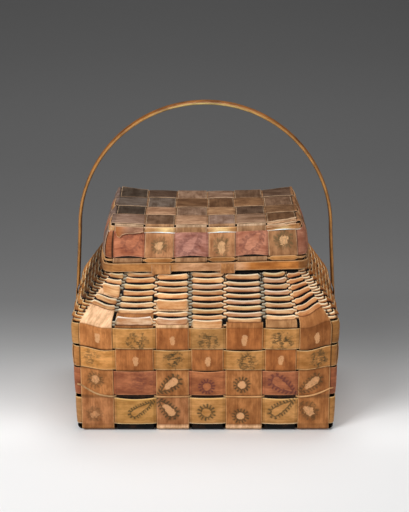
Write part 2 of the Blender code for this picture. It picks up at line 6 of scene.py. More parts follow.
import bpy
import numpy as np
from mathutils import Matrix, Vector


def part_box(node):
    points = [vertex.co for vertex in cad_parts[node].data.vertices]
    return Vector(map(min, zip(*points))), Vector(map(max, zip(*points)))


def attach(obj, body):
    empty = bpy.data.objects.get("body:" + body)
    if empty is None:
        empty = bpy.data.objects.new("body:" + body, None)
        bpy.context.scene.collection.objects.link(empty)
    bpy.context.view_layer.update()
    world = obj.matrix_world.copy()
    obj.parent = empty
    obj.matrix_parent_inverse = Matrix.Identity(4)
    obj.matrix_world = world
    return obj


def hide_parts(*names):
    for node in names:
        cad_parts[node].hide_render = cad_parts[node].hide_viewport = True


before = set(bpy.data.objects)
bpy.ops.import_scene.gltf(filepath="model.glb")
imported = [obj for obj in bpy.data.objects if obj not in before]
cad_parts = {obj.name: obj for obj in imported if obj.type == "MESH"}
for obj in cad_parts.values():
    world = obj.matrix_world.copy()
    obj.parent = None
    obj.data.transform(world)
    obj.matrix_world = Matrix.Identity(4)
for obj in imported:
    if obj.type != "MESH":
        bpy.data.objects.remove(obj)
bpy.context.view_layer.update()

BASKET, LID_BODY = "basket", "lid"
FRONT, RIGHT, BACK, LEFT = FACES = range(4)
TRAVEL = (1, 1, -1, -1)

# The camera of the photograph: place in metres, tilt down in degrees, lens and film in millimetres
CAMERA_PLACE = (-0.0014, -1.9620, 0.8949)
CAMERA_TILT_DEG = 18.71
CAMERA_LENS = 96.58
CAMERA_FILM = 36.0

# Splint stock, and the room between splints that touch
STAKE_THICKNESS = 0.0010
WEFT_THICKNESS = 0.0009
BINDER_THICKNESS = 0.0006
HOOP_THICKNESS = 0.0018
LID_SPLINT_THICKNESS = 0.0009
LOOSE_THICKNESS = 0.0007
CLEARANCE = 0.0003
EDGE_ROUND = 0.00035
EDGE_THIN_SHARE = 0.35
SHARP_ANGLE_DEG = 50

# Body of the basket, on the middle of its weave
BODY_FOOT_HALF_WIDTH = 0.1885
BODY_FOOT_HALF_DEPTH = 0.1235
WALL_SIDE_LEAN = 0.0045
WALL_FRONT_LEAN = 0.0010
WALL_CORNER = 0.0070
BASE_BEND_RADIUS = 0.0065
STAKE_GAP = 0.0040
FRONT_BACK_STAKE_SHARES = (0.139, 0.162, 0.139, 0.136, 0.156, 0.133, 0.135)
SIDE_STAKE_SHARES = (0.2, 0.2, 0.2, 0.2, 0.2)
WALL_TOP_MARGIN = 0.0004
SHOULDER_SETTLE = 0.0016
SHOULDER_RISE = 0.0885
SHOULDER_FRONT_INSET = 0.0303
SHOULDER_SIDE_INSET = 0.0502
SHOULDER_EASE_SHARE = 0.15
SHOULDER_WEFT_COUNT = 18
SHOULDER_WEFT_PITCH = 0.0041
SHOULDER_FIRST_TURN = 5
SHOULDER_SWING = 0.00115
NECK_HOOP_CORNER = (0.0120, 0.0105)
NECK_TOP_OVER_FOOT = 0.0120

# Lid, on the middle of its weave
LID_SIDE_FLARE = 0.0176
LID_FRONT_FLARE = 0.0066
LID_TOP_CORNER = (0.0045, 0.0030)
LID_BEND_RADIUS = 0.0028
LID_SPLINT_GAP = 0.0030
LID_FRONT_BACK_SPLINT_SHARES = (0.167, 0.167, 0.179, 0.154, 0.167, 0.166)
LID_SIDE_SPLINT_SHARES = (0.263, 0.223, 0.277, 0.237)
LID_RIM_CORNER = (0.0190, 0.0115)
LID_SIDE_FULLNESS = 2.6
LID_FRONT_FULLNESS = 2.0
LID_NODES = ("lid_edge_weft", "lid_red_weft", "lid_lower_weft")

# How age has warped the lid and drawn in the corners
LID_SAG = 0.0040
LID_FAN = 0.035
LID_FRONT_RAISE = 0.0015
LID_RIGHT_RAISE = 0.0050
LID_CORNER_CURL = 0.0032
LID_CURL_REACH = 0.045
CORNER_DRAW = 0.0105
CORNER_DRAW_WIDTH = 0.0175
CORNER_DRAW_DEPTH = 0.1070
CORNER_DRAW_REACH = 0.0350

# The two front splints that end in a tab over the rim, and the share of their width that the tab takes
LID_TAB_HEIGHT = 0.0100
LID_TAB_DROP = 0.0036
LID_TAB_SPAN_SHARES = {1: (0.20, 0.87), 3: (0.45, 1.00)}

# Handle
HANDLE_WIDTH = 0.0180
HANDLE_THICKNESS = 0.0052
HANDLE_SPRING_INSET = 0.0030
HANDLE_SPRING_LIFT = 0.1098
HANDLE_ARCH_RISE = 0.1945
HANDLE_TONGUE_THICKNESS = 0.0018
HANDLE_TONGUE_STANDOFF = 0.0019
HANDLE_THINNING_LENGTH = 0.0120
HANDLE_SHOULDER_LIFT = 0.0135
HANDLE_RIM_POINTS = 20

# How the splints bow and wander
CROSSING_REACH = 0.0016
SQUARE_CROWN = 0.0009
LID_TOP_CROWN = 0.6 * SQUARE_CROWN
SQUARE_CUP = 0.0005
EDGE_WANDER = 0.0004
BEND_STEPS = 7

# The narrow wefts of the shoulder, which swell to bricks where they pass over a stake
BRICK_HEIGHT = 0.0056
BRICK_COLUMN_SIZES = (1.05, 1.0, 1.0, 0.96, 0.88, 0.96, 0.94)
BRICK_END_FLARE = 0.0018
BRICK_NARROW_HEIGHT = 0.0036
BRICK_CROWN = 0.0011
BRICK_SMILE = 0.0012
BRICK_LIP = 0.0007
BRICK_SUNK = 0.0012
WIDE_BRICK_HEIGHT = 0.0080
WIDE_BRICK_BOW = 0.3

# Near an upright corner the weave is drawn up: how far at each height, for the corners
# front right, back right, back left and front left
CORNER_LIFT_REACH = 0.0380
CORNER_LIFT_HEIGHTS = (0.0505, 0.0720, 0.1150, 0.1730, 0.1950, 0.2580)
CORNER_LIFTS = ((0.0, 0.0034, 0.0072, 0.0115, 0.0120, 0.0), (0.0, 0.0030, 0.0060, 0.0090, 0.0100, 0.0),
                (0.0, 0.0030, 0.0060, 0.0085, 0.0090, 0.0), (0.0, 0.0034, 0.0068, 0.0078, 0.0080, 0.0))
BINDER_LIFTS = (0.0108, 0.0060, 0.0060, 0.0156)
BINDER_LIFT_REACH = 0.0480
BINDER_HEIGHT = 0.05

# Places along a square from 0 to 1, and the one that stands for the gap after it
SQUARE_SHARES = (0.0, 0.03, 0.07, 0.14, 0.26, 0.40, 0.5, 0.60, 0.74, 0.86, 0.93, 0.97, 1.0)
IN_GAP = 1.5


# Measures

def band(node):
    """Lowest and highest height of a frame piece."""
    low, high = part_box(node)
    return low.z, high.z


def clamped(share):
    return min(max(share, 0.0), 1.0)


def smooth(share):
    share = clamped(share)
    return share * share * (3 - 2 * share)


def between(low, high, share):
    return low + (high - low) * share


def mixed(first, second, share):
    return tuple(between(one, other, share) for one, other in zip(first, second))


def arch(share):
    """1 in the middle of a square, falling to 0 at its ends."""
    return 1 - (2 * share - 1) ** 2


def cup(share):
    """How far a splint curls back from its middle line, at a share of its width."""
    return SQUARE_CUP * (2 * share - 1) ** 2


def end_share(share, reach):
    """1 at either end of a square, falling to 0 over the share reach."""
    return 1 - smooth(min(share, 1 - share) / reach)


def shown_grime(share, reach=0.03):
    """Dirt and painted shade on a square that lies on top: a little, and more at its ends."""
    return 0.03 + 0.2 * end_share(share, reach)


def eased_share(share, ease):
    """Progress from 0 to 1 along a straight run that bends in and out over the share ease."""
    share = clamped(share)
    end = min(share, 1 - share)
    run = (end ** 2 / (2 * ease) if end < ease else end - ease / 2) / (1 - ease)
    return run if share < 0.5 else 1 - run


def eased_slope(share, ease):
    return clamped(min(share, 1 - share) / ease) / (1 - ease)


def along_x(face):
    return face in (FRONT, BACK)


def spans_between(outer, width_shares, gap):
    """Edges of strips laid side by side from -outer to outer with a gap between them."""
    wood_width = 2 * outer - gap * (len(width_shares) - 1)
    position = -outer
    spans = []
    for share in width_shares:
        width = wood_width * share / sum(width_shares)
        spans.append((position, position + width))
        position += width + gap
    return spans


def stations(spans):
    """Places over each span and in the gap after it, with the span's number and the share of the square."""
    for number, (low, high, *_) in enumerate(spans):
        for share in SQUARE_SHARES:
            yield between(low, high, share), number, share
        if number < len(spans) - 1:
            yield (high + spans[number + 1][0]) / 2, number, IN_GAP


def corner_at(face, along):
    """The number of the upright corner nearer to a place on a face."""
    right, behind = (along > 0, face == BACK) if along_x(face) else (face == RIGHT, along > 0)
    return (3, 0, 2, 1)[2 * behind + right]


def wander(seed, length, waves=7):
    """A smooth uneven line over a closed length, from -1 to 1."""
    source = random.Random(str(seed))
    terms = [(source.uniform(0.4, 1.0) / (1 + wave * 0.12), wave + 1, source.uniform(0, 2 * math.pi))
             for wave in range(waves)]
    total = sum(size for size, _, _ in terms)

    def value(place):
        angle = 2 * math.pi * place / length
        return sum(size * math.sin(turns * angle + phase) for size, turns, phase in terms) / total * 1.8
    return value


def woven(place, bands):
    """Offset of a splint at a place: level over each band, and a smooth dive from one to the next."""
    for (_, near, before), (far, _, after) in zip(bands, bands[1:]):
        if place <= near - CROSSING_REACH:
            return before
        if place < far + CROSSING_REACH:
            share = (place - near + CROSSING_REACH) / (far - near + 2 * CROSSING_REACH)
            return between(before, after, smooth(share))
    return bands[-1][2]


# The two shells that the splints are woven on

BASE_SWING = (STAKE_THICKNESS + CLEARANCE) / 2
WALL_SWING = ((STAKE_THICKNESS + WEFT_THICKNESS) / 2 + CLEARANCE) / 2
BINDER_SWING = WALL_SWING + (STAKE_THICKNESS + BINDER_THICKNESS) / 2 + CLEARANCE
LID_SWING = (LID_SPLINT_THICKNESS + CLEARANCE) / 2
SHOULDER_FOOT = band("upper_narrow_weft")[1] + WALL_TOP_MARGIN + SHOULDER_SETTLE
NECK_FOOT = SHOULDER_FOOT + SHOULDER_RISE
LID_SEAT, LID_RIM_TOP = band("lid_rim_inner_hoop")
LID_TOP = band("lid_side_splint_1")[1] - LID_SWING - LID_SPLINT_THICKNESS / 2
LID_HEIGHT = LID_TOP - LID_SEAT


def drawn_in(point, half_width, amount):
    """The place across of a point on a short side, which draws in towards the upright corners."""
    share = smooth((abs(point[0]) - half_width) / CORNER_DRAW_WIDTH + 1)
    draw = amount * share * min(abs(point[1]) / CORNER_DRAW_DEPTH, 1) ** 3
    return point[0] - math.copysign(draw, point[0])


class BodyShell:
    """Middle surface of the basket's weave."""

    floor = BASE_SWING + STAKE_THICKNESS / 2
    rise = 1
    bend = BASE_BEND_RADIUS
    hoop_corner = NECK_HOOP_CORNER
    floor_swing = BASE_SWING
    wall_swing = WALL_SWING
    columns = spans_between(BODY_FOOT_HALF_WIDTH - WALL_CORNER, FRONT_BACK_STAKE_SHARES, STAKE_GAP)
    rows = spans_between(BODY_FOOT_HALF_DEPTH - WALL_CORNER, SIDE_STAKE_SHARES, STAKE_GAP)

    def shoulder_share(self, height):
        return eased_share((height - SHOULDER_FOOT) / SHOULDER_RISE, SHOULDER_EASE_SHARE)

    def half_size(self, face, height):
        if along_x(face):
            foot, lean, inset = BODY_FOOT_HALF_DEPTH, WALL_FRONT_LEAN, SHOULDER_FRONT_INSET
        else:
            foot, lean, inset = BODY_FOOT_HALF_WIDTH, WALL_SIDE_LEAN, SHOULDER_SIDE_INSET
        return foot + lean * min(height / SHOULDER_FOOT, 1) - inset * self.shoulder_share(height)

    def tilt(self, face, height):
        inset = SHOULDER_FRONT_INSET if along_x(face) else SHOULDER_SIDE_INSET
        share = (height - SHOULDER_FOOT) / SHOULDER_RISE
        return math.atan(inset / SHOULDER_RISE * eased_slope(share, SHOULDER_EASE_SHARE))

    def flat_spans(self, face):
        return self.columns if along_x(face) else self.rows

    def neck_reach(self, face):
        corner = NECK_HOOP_CORNER[0 if along_x(face) else 1]
        return self.half_size(RIGHT if along_x(face) else FRONT, NECK_FOOT) - corner

    def spans(self, face, height):
        """Edges of the stakes on a face, drawn in towards the neck with their gaps kept."""
        spans = self.flat_spans(face)
        outer = spans[-1][1]
        draw = (1 - self.neck_reach(face) / outer) * self.shoulder_share(height)

        def drawn(edge, margin):
            margin = margin if abs(edge + margin) < outer else 0.0
            middle = edge + margin
            return middle * (1 - draw * (middle / outer) ** 2) - margin
        return [(drawn(low, -STAKE_GAP / 2), drawn(high, STAKE_GAP / 2)) for low, high in spans]

    def outer(self, face, height):
        """Where the outermost stake's edge is."""
        return between(self.flat_spans(face)[-1][1], self.neck_reach(face), self.shoulder_share(height))

    def lift(self, face, along, height):
        """How far the weave is drawn up near an upright corner."""
        near = smooth(1 - (self.outer(face, height) - abs(along)) / CORNER_LIFT_REACH)
        lifts = CORNER_LIFTS[corner_at(face, along)]
        return near * float(np.interp(height, CORNER_LIFT_HEIGHTS, lifts, left=0.0)) if near else 0.0

    def settle(self, point):
        """Near the neck the short sides draw in towards the corners."""
        share = smooth((point[2] - NECK_FOOT) / CORNER_DRAW_REACH + 1)
        half_width = self.half_size(RIGHT, min(point[2], NECK_FOOT))
        return (drawn_in(point, half_width, CORNER_DRAW * share), point[1], point[2])


class LidShell:
    """Middle surface of the lid's weave."""

    floor = LID_TOP
    rise = -1
    bend = LID_BEND_RADIUS
    hoop_corner = LID_RIM_CORNER
    floor_swing = LID_SWING
    wall_swing = LID_SWING

    def __init__(self):
        rim_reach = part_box("lid_rim_outer_hoop")[1]
        hoop = LID_SPLINT_THICKNESS / 2 + CLEARANCE + HOOP_THICKNESS
        self.rim_half_width = rim_reach.x - hoop
        self.rim_half_depth = rim_reach.y - hoop
        self.top_half_width = self.rim_half_width - LID_SIDE_FLARE
        self.top_half_depth = self.rim_half_depth - LID_FRONT_FLARE
        self.columns = spans_between(self.top_half_width - LID_TOP_CORNER[0],
                                     LID_FRONT_BACK_SPLINT_SHARES, LID_SPLINT_GAP)
        self.rows = spans_between(self.top_half_depth - LID_TOP_CORNER[1],
                                  LID_SIDE_SPLINT_SHARES, LID_SPLINT_GAP)

    def flare(self, face):
        """Half size at the rim, what it loses up to the top, and how full the side is."""
        if along_x(face):
            return self.rim_half_depth, LID_FRONT_FLARE, LID_FRONT_FULLNESS
        return self.rim_half_width, LID_SIDE_FLARE, LID_SIDE_FULLNESS

    def half_size(self, face, height):
        rim, loss, fullness = self.flare(face)
        return rim - loss * max((height - LID_SEAT) / LID_HEIGHT, 0) ** fullness

    def tilt(self, face, height):
        rim, loss, fullness = self.flare(face)
        share = max((height - LID_SEAT) / LID_HEIGHT, 0)
        return math.atan(fullness * loss / LID_HEIGHT * share ** (fullness - 1))

    def spans(self, face, height):
        """Edges of the splints on a face, fanned out a little towards the rim."""
        if not along_x(face):
            return self.rows
        fan = 1 + LID_FAN * (1 - clamped((height - LID_SEAT) / LID_HEIGHT))
        return [(low * fan, high * fan) for low, high in self.columns]

    def outer(self, face, height):
        return self.spans(face, height)[-1][1]

    def lift(self, face, along, height):
        return 0.0

    def settle(self, point):
        """The top's middle sags, its back corner curls up and the front is warped upwards."""
        x, y, z = point
        height_share = max((z - LID_RIM_TOP) / (LID_TOP - LID_RIM_TOP), 0)
        sag = LID_SAG * (1 - min(abs(x) / self.top_half_width, 1) ** 2) * height_share
        far = max(self.top_half_width - abs(x), 0) + max(self.top_half_depth - y, 0)
        curl = LID_CORNER_CURL * smooth(1 - far / LID_CURL_REACH) * height_share
        draw = CORNER_DRAW * (1 - clamped((z - LID_SEAT) / LID_HEIGHT) ** 2)
        to_right = clamped(0.5 + x / (2 * self.rim_half_width))
        to_front = clamped(0.5 - y / (2 * self.rim_half_depth))
        warp = (LID_FRONT_RAISE + LID_RIGHT_RAISE * to_right ** 1.5) * to_front
        return (drawn_in(point, self.half_size(RIGHT, z), draw), y, z - sag + curl + warp)


BODY = BodyShell()
LID = LidShell()


def face_point(shell, face, along, height, offset):
    """A point on a face of the shell, moved outwards by offset square to the surface."""
    tilt = shell.tilt(face, height)
    reach = shell.half_size(face, height) + offset * math.cos(tilt)
    out = reach if face in (RIGHT, BACK) else -reach
    level = height + offset * math.sin(tilt)
    return (along, out, level) if along_x(face) else (out, along, level)


def woven_point(shell, face, along, height, offset):
    """A point on a face where the weave is drawn up near the corners."""
    lift = shell.lift(face, along, height)
    if lift > 0:
        along *= shell.outer(face, height + lift) / shell.outer(face, height)
    return face_point(shell, face, along, height + lift, offset)


def corner_points(face, end, start, steps):
    """Points round an upright corner, on a quarter ellipse from one face's end to the next one's start."""
    centre = (end[0], start[1]) if along_x(face) else (start[0], end[1])
    points = []
    for step in range(1, steps):
        angle = math.pi / 2 * step / steps
        x, y = (middle + (last - middle) * math.cos(angle) + (first - middle) * math.sin(angle)
                for middle, last, first in zip(centre, end, start))
        points.append((x, y, between(end[2], start[2], step / steps)))
    return points


# Strips of wood

class Strip:
    """A strip in the making: rows of points across it, each with its square, its dirt and painted shade, and its
    tint.
    """

    def __init__(self, closed, width, count):
        """Places across go from 0 to 1, with one close to each edge for the rounded arris."""
        edge = min(EDGE_ROUND / width, 0.2)
        self.closed = closed
        self.shares = [0.0] + [between(edge, 1 - edge, step / (count - 1)) for step in range(count)] + [1.0]
        self.rows = []
        self.marks = {}

    def add(self, points, square=None, dirt_and_shade=0.0, tint=(1, 1, 1)):
        self.rows.append((points, square, dirt_and_shade, tint))

    def close(self, sides, steps, grime_of, tint=None):
        """Adds the rows of the four sides, and joins them round the upright corners."""
        for face, rows in enumerate(sides):
            self.rows += rows
            ends = [corner_points(face, near, far, steps)
                    for near, far in zip(rows[-1][0], sides[(face + 1) % 4][0][0])]
            for step, points in enumerate(zip(*ends)):
                self.add(points, None, grime_of(face, step), tint or rows[-1][3])


def new_mesh(name, vertices, faces):
    mesh = bpy.data.meshes.new(name)
    mesh.from_pydata(vertices, [], faces)
    mesh.shade_smooth()
    return mesh


def linked(name, data):
    item = bpy.data.objects.new(name, data)
    bpy.context.scene.collection.objects.link(item)
    return item


def write(layer, name, values):
    layer.data.foreach_set(name, np.asarray(values, np.float32).ravel())


def write_values(mesh, name, values, domain="POINT"):
    write(mesh.attributes.new(name, "FLOAT", domain), "value", values)


def write_colours(mesh, name, values, domain="POINT"):
    write(mesh.color_attributes.new(name, "FLOAT_COLOR", domain), "color", values)


def write_uv(mesh, name, first, second):
    write(mesh.uv_layers.new(name=name, do_init=False), "uv", np.stack([first, second], -1))


def dress(mesh, material, body, slot, nodes):
    """Makes the mesh a piece of the scene that takes the place of frame pieces."""
    item = linked(mesh.name, mesh)
    mesh.materials.append(material)
    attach(item, body)
    if nodes:
        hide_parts(*nodes)


def strip_object(name, strip, thickness, material, body, slot, nodes):
    """A closed mesh of the strip with its arrises rounded, and the maps that its material reads."""
    rows, squares, dirt_and_shade, tints = zip(*strip.rows)
    middle = np.array(rows, float)
    length, width = middle.shape[:2]
    along = np.roll(middle, -1, 0) - np.roll(middle, 1, 0) if strip.closed else np.gradient(middle, axis=0)
    normal = np.cross(along, np.gradient(middle, axis=1))
    normal /= np.maximum(np.linalg.norm(normal, axis=-1, keepdims=True), 1e-9)
    half = np.full(width, thickness / 2)
    half[[0, -1]] *= EDGE_THIN_SHARE
    offset = normal * half[None, :, None]

    # The points of a row go across the outer side and back across the inner one
    def there_and_back(outer, inner):
        return np.concatenate([outer, inner[:, ::-1]], 1)

    ring = 2 * width
    row, place = np.indices((length - (not strip.closed), ring)).reshape(2, -1)
    corner_row = np.stack([row, row + 1, row + 1, row], 1)
    corner_place = np.stack([place, place, place + 1, place + 1], 1) % ring
    if not strip.closed:
        near = np.arange(width - 1)
        cap = np.stack([near, near + 1, ring - 2 - near, ring - 1 - near], 1)
        corner_row = np.concatenate([corner_row, 0 * cap, 0 * cap + length - 1])
        corner_place = np.concatenate([corner_place, cap, cap[:, ::-1]])
    faces = corner_row % length * ring + corner_place
    vertices = there_and_back(middle + offset, middle - offset).reshape(-1, 3)
    mesh = new_mesh(name, vertices.tolist(), faces.tolist())

    # Distances along and across the strip
    lines = middle.mean(1)
    run = np.concatenate([[0], np.cumsum(np.linalg.norm(np.roll(lines, -1, 0) - lines, axis=1))])
    across = np.cumsum(np.linalg.norm(np.diff(middle, axis=1, prepend=middle[:, :1]), axis=2), axis=1)
    edge = np.minimum(across, across[:, -1:] - across)
    corner_across = across[corner_row % length, np.minimum(corner_place, ring - 1 - corner_place)]
    write_uv(mesh, "strip", run[corner_row] + random.Random(name).uniform(0, 20), corner_across)
    write_marks(mesh, strip.marks, squares, run, across, corner_row, corner_across)
    write_values(mesh, "edge", there_and_back(edge, edge))
    write_values(mesh, "across", np.tile(strip.shares + strip.shares[::-1], length))
    write_values(mesh, "dirt_and_shade", np.repeat(dirt_and_shade, ring))
    write_colours(mesh, "tint", np.repeat([(*tint, 1.0) for tint in tints], ring, 0))
    mesh.set_sharp_from_angle(angle=math.radians(SHARP_ANGLE_DEG))
    dress(mesh, material, body, slot, nodes)


def write_marks(mesh, marks, squares, run, across, corner_row, corner_across):
    """The stamp's own coordinates on each square that has one, and the stamp's form and strength."""
    interval = corner_row.min(1, keepdims=True) % len(squares)
    x, y = np.full(corner_row.shape, 9.0), np.full(corner_row.shape, 9.0)
    form = np.zeros(corner_row.shape + (4,))
    faded = np.zeros(corner_row.shape)
    for square, (mark, directions) in marks.items():
        members = [index for index, name in enumerate(squares) if name == square]
        kind, dx, dy, angle, radius, length, ink, fill, fading = mark
        here = np.isin(interval, members)
        along = run[corner_row] - (run[members[0]] + run[members[-1]]) / 2
        right, up = directions(along, corner_across - across[members[len(members) // 2], -1] / 2)
        right, up = (right - dx) / radius, (up - dy) / radius
        turn = math.radians(angle)
        x = np.where(here, right * math.cos(turn) + up * math.sin(turn), x)
        y = np.where(here, up * math.cos(turn) - right * math.sin(turn), y)
        form = np.where(here[..., None], (kind, ink, fill, length / radius), form)
        faded = np.where(here, fading, faded)
    write_uv(mesh, "stamp", x, y)
    write_values(mesh, "faded", faded, "CORNER")
    write_colours(mesh, "mark", form, "CORNER")


def weft_strip(shell, foot, top, outside_of, swing, count, seed, tint_of, brick_of=None, crown=SQUARE_CROWN,
               bulge_of=None, own_lift=None, grime_of=None, gap_grime=0.12, corner_crease_shade=False,
               corner_grime_of=lambda face, step: 0.15, corner_steps=8):
    """A weft round the shell. outside_of says whether it lies outside the stake at a position."""
    strip = Strip(True, top - foot, count)
    upper_line, lower_line = wander((seed, 1), 1.2), wander((seed, 2), 1.2)
    first = 0
    travelled = 0.0
    sides = []
    for face in FACES:
        spans = shell.spans(face, (foot + top) / 2)
        if TRAVEL[face] < 0:
            spans = [(-high, -low) for low, high in reversed(spans)]
        bands = [(*span, swing if outside_of(first + index) else -swing) for index, span in enumerate(spans)]
        rows = []
        for place, index, share in stations(spans):
            offset = woven(place, bands)
            position = first + index
            outside = share <= 1 and outside_of(position)
            low, high, lip, depth = brick_of(position, share, outside) if brick_of else (foot, top, 0, 0)
            offset += depth + (crown * arch(share) if outside else 0)
            if bulge_of:
                offset = max(offset, bulge_of(face, place, offset))
            along = place * TRAVEL[face]
            extra = own_lift(face, along) if own_lift else 0.0
            low += extra + EDGE_WANDER * lower_line(travelled + place)
            high += extra + EDGE_WANDER * upper_line(travelled + place)
            points = []
            for v in strip.shares:
                bow = lip * (1 - 2 * v) - cup(v)
                point = woven_point(shell, face, along, between(low, high, v), offset + bow)
                points.append(shell.settle(point))
            # Dirt and painted shade: a little on a square on top, near black on one that lies behind, painted shade
            # in the gaps, and dark end rows at the upright corners as painted shade in the crease
            if grime_of:
                dirt_and_shade = grime_of(position, share, outside)
            elif share > 1:
                dirt_and_shade = gap_grime
            else:
                dirt_and_shade = shown_grime(share) if outside else 0.9 - 0.5 * end_share(share, 0.03)
            if corner_crease_shade and (index, share) in ((0, 0), (len(spans) - 1, 1)):
                dirt_and_shade = 0.85
            rows.append((points, position if share <= 1 else None, dirt_and_shade, tint_of(position, share)))
        sides.append(rows)
        first += len(spans)
        travelled += 2 * spans[-1][1]
    strip.close(sides, corner_steps, corner_grime_of)
    return strip


def stake_strip(shell, faces, index, courses, ends, count, seed, tint_of):
    """A stake from the end of one wall, across the floor, to the end of the other wall."""
    lengthways = along_x(faces[0])
    own_spans, crossings = (shell.columns, shell.rows) if lengthways else (shell.rows, shell.columns)
    low, high = own_spans[index]
    strip = Strip(False, high - low, count)
    line = wander((seed, 3), 1.0)
    is_lid = shell.rise < 0

    def level(crossing):
        return -1 if (index + crossing + lengthways) % 2 else 1

    def laid(along, out, height):
        return (along, out, height) if lengthways else (out, along, height)

    def gap_grime(below, above):
        """Painted shade: dark where the stake lies behind both neighbouring courses."""
        if is_lid:
            return 0.95 if below > 0 > above else 0.15
        return 0.86 if below < 0 and above < 0 else 0.4

    def wall(face, crossing):
        covered = sorted((foot, top, level(crossing) * (1 if turn % 2 else -1), course)
                         for course, (turn, foot, top) in enumerate(courses))
        bands = [(foot, top, sign * shell.wall_swing) for foot, top, sign, _ in covered]
        stretches = []
        for height, number, share in stations(covered):
            sign, course = covered[number][2:]
            on_top = share <= 1 and sign > 0
            # Painted shade: near black on a square that lies behind a course, in a gap behind both neighbours, and
            # at the top of a shown square in the lid's red course; dirt and painted shade on other shown squares
            if share > 1:
                dirt_and_shade = gap_grime(sign, covered[number + 1][2])
            elif is_lid and on_top and course == 1 and share > 0.95:
                dirt_and_shade = 0.85
            else:
                dirt_and_shade = shown_grime(share) if on_top else 0.9
            offset = woven(height, bands) + (SQUARE_CROWN * arch(share) if on_top else 0)
            stretches.append((height, offset, (face, course) if share <= 1 else None, dirt_and_shade))
        if is_lid:
            stretches.reverse()
        stretches += [(height, offset, (face, "end"), dirt_and_shade) for height, offset, dirt_and_shade in ends(face, index)]
        rows = []
        for height, offset, square, dirt_and_shade in stretches:
            near, far = shell.spans(face, height)[index]
            sway = EDGE_WANDER * line(height)
            points = [woven_point(shell, face, between(near, far, v) + sway, height, offset - cup(v))
                      for v in strip.shares]
            rows.append((points, square, dirt_and_shade))
        return rows

    def bend(face, crossing):
        centre_height = shell.floor + shell.rise * shell.bend
        reach = shell.half_size(face, centre_height) - shell.bend
        near, far = shell.spans(face, centre_height)[index]
        side = 1 if face in (RIGHT, BACK) else -1
        rows = []
        for step in range(BEND_STEPS + 1):
            share = step / BEND_STEPS
            angle = math.pi / 2 * share
            radius = shell.bend + level(crossing) * between(shell.floor_swing, -shell.wall_swing, share)
            out = side * (reach + radius * math.sin(angle))
            height = centre_height - shell.rise * radius * math.cos(angle)
            # Painted shade on the bends: near black on a stake that lies behind the lowest weft, darker towards the
            # floor on the others
            dirt_and_shade = 0.12 if is_lid else 0.92 if level(crossing) > 0 else 0.05 + 0.5 * (1 - share)
            points = [laid(between(near, far, v), out, height) for v in strip.shares]
            rows.append((points, (face, "bend"), dirt_and_shade))
        return rows

    def floor():
        bands = [(*span, level(crossing) * shell.floor_swing) for crossing, span in enumerate(crossings)]
        rows = []
        for place, crossing, share in stations(crossings):
            on_top = share <= 1 and level(crossing) > 0
            offset = woven(place, bands) + (LID_TOP_CROWN * arch(share) if on_top and is_lid else 0)
            points = [laid(between(low, high, v), place, shell.floor + shell.rise * (cup(v) - offset))
                      for v in strip.shares]
            # Painted shade in the gaps and on squares that lie behind; dirt and painted shade on shown squares
            if share > 1:
                rows.append((points, None, 0.15 if is_lid else 0.5))
            else:
                rows.append((points, ("floor", crossing), shown_grime(share) if on_top else 0.85))
        return rows

    last = len(crossings) - 1
    path = wall(faces[0], 0)[::-1] + bend(faces[0], 0)[::-1] + floor()
    path += bend(faces[1], last) + wall(faces[1], last)
    for points, square, dirt_and_shade in path:
        strip.add([shell.settle(point) for point in points], square, dirt_and_shade,
                  tint_of(square) if square else (1, 1, 1))
    return strip


def hoop_strip(shell, foot, top, offset, count, seed):
    """A hoop: straight along each face and round each corner, with slightly uneven edges."""
    strip = Strip(True, top - foot, count)
    line = wander((seed, 5), 1.0)
    steps = 16
    sides = []
    for face in FACES:
        corner = shell.hoop_corner[0 if along_x(face) else 1]
        straight = shell.half_size((face + 1) % 4, foot) - corner
        rows = []
        for step in range(steps + 1):
            place = straight * (2 * step / steps - 1)
            rise = EDGE_WANDER * line(place + face * 0.25)
            points = []
            for v in strip.shares:
                level = between(foot, top, v) + rise * (v if v > 0.5 else 0)
                points.append(shell.settle(face_point(shell, face, place * TRAVEL[face], level, offset)))
            word = "plain"
            if face == FRONT and shell is LID:
                word = next(word for word, end in HOOP_TONES if step / steps <= end)
            rows.append((points, None, 0.1, named(word)))
        sides.append(rows)
    strip.close(sides, 8, lambda face, step: 0.2, (1, 1, 1))
    return strip


# Materials

class Value:
    """A shader value that can be reckoned with like a number."""

    def __init__(self, graph, socket):
        self.graph = graph
        self.socket = socket

    def __add__(self, other):
        return self.graph.math("ADD", self, other)

    def __sub__(self, other):
        return self.graph.math("SUBTRACT", self, other)

    def __rsub__(self, other):
        return self.graph.math("SUBTRACT", other, self)

    def __mul__(self, other):
        return self.graph.math("MULTIPLY", self, other)

    def __truediv__(self, other):
        return self.graph.math("DIVIDE", self, other)

    def __pow__(self, other):
        return self.graph.math("POWER", self, other)

    def __abs__(self):
        return self.graph.math("ABSOLUTE", self)

    def at_least(self, other):
        return self.graph.math("MAXIMUM", self, other)

    def clamped(self):
        self.socket.node.use_clamp = True
        return self

    def ramp(self, low, high, from_value=0.0, to_value=1.0):
        """A smooth change from from_value at low to to_value at high."""
        return self.graph.node("MapRange", {0: self, 1: low, 2: high, 3: from_value, 4: to_value},
                               interpolation_type="SMOOTHSTEP")


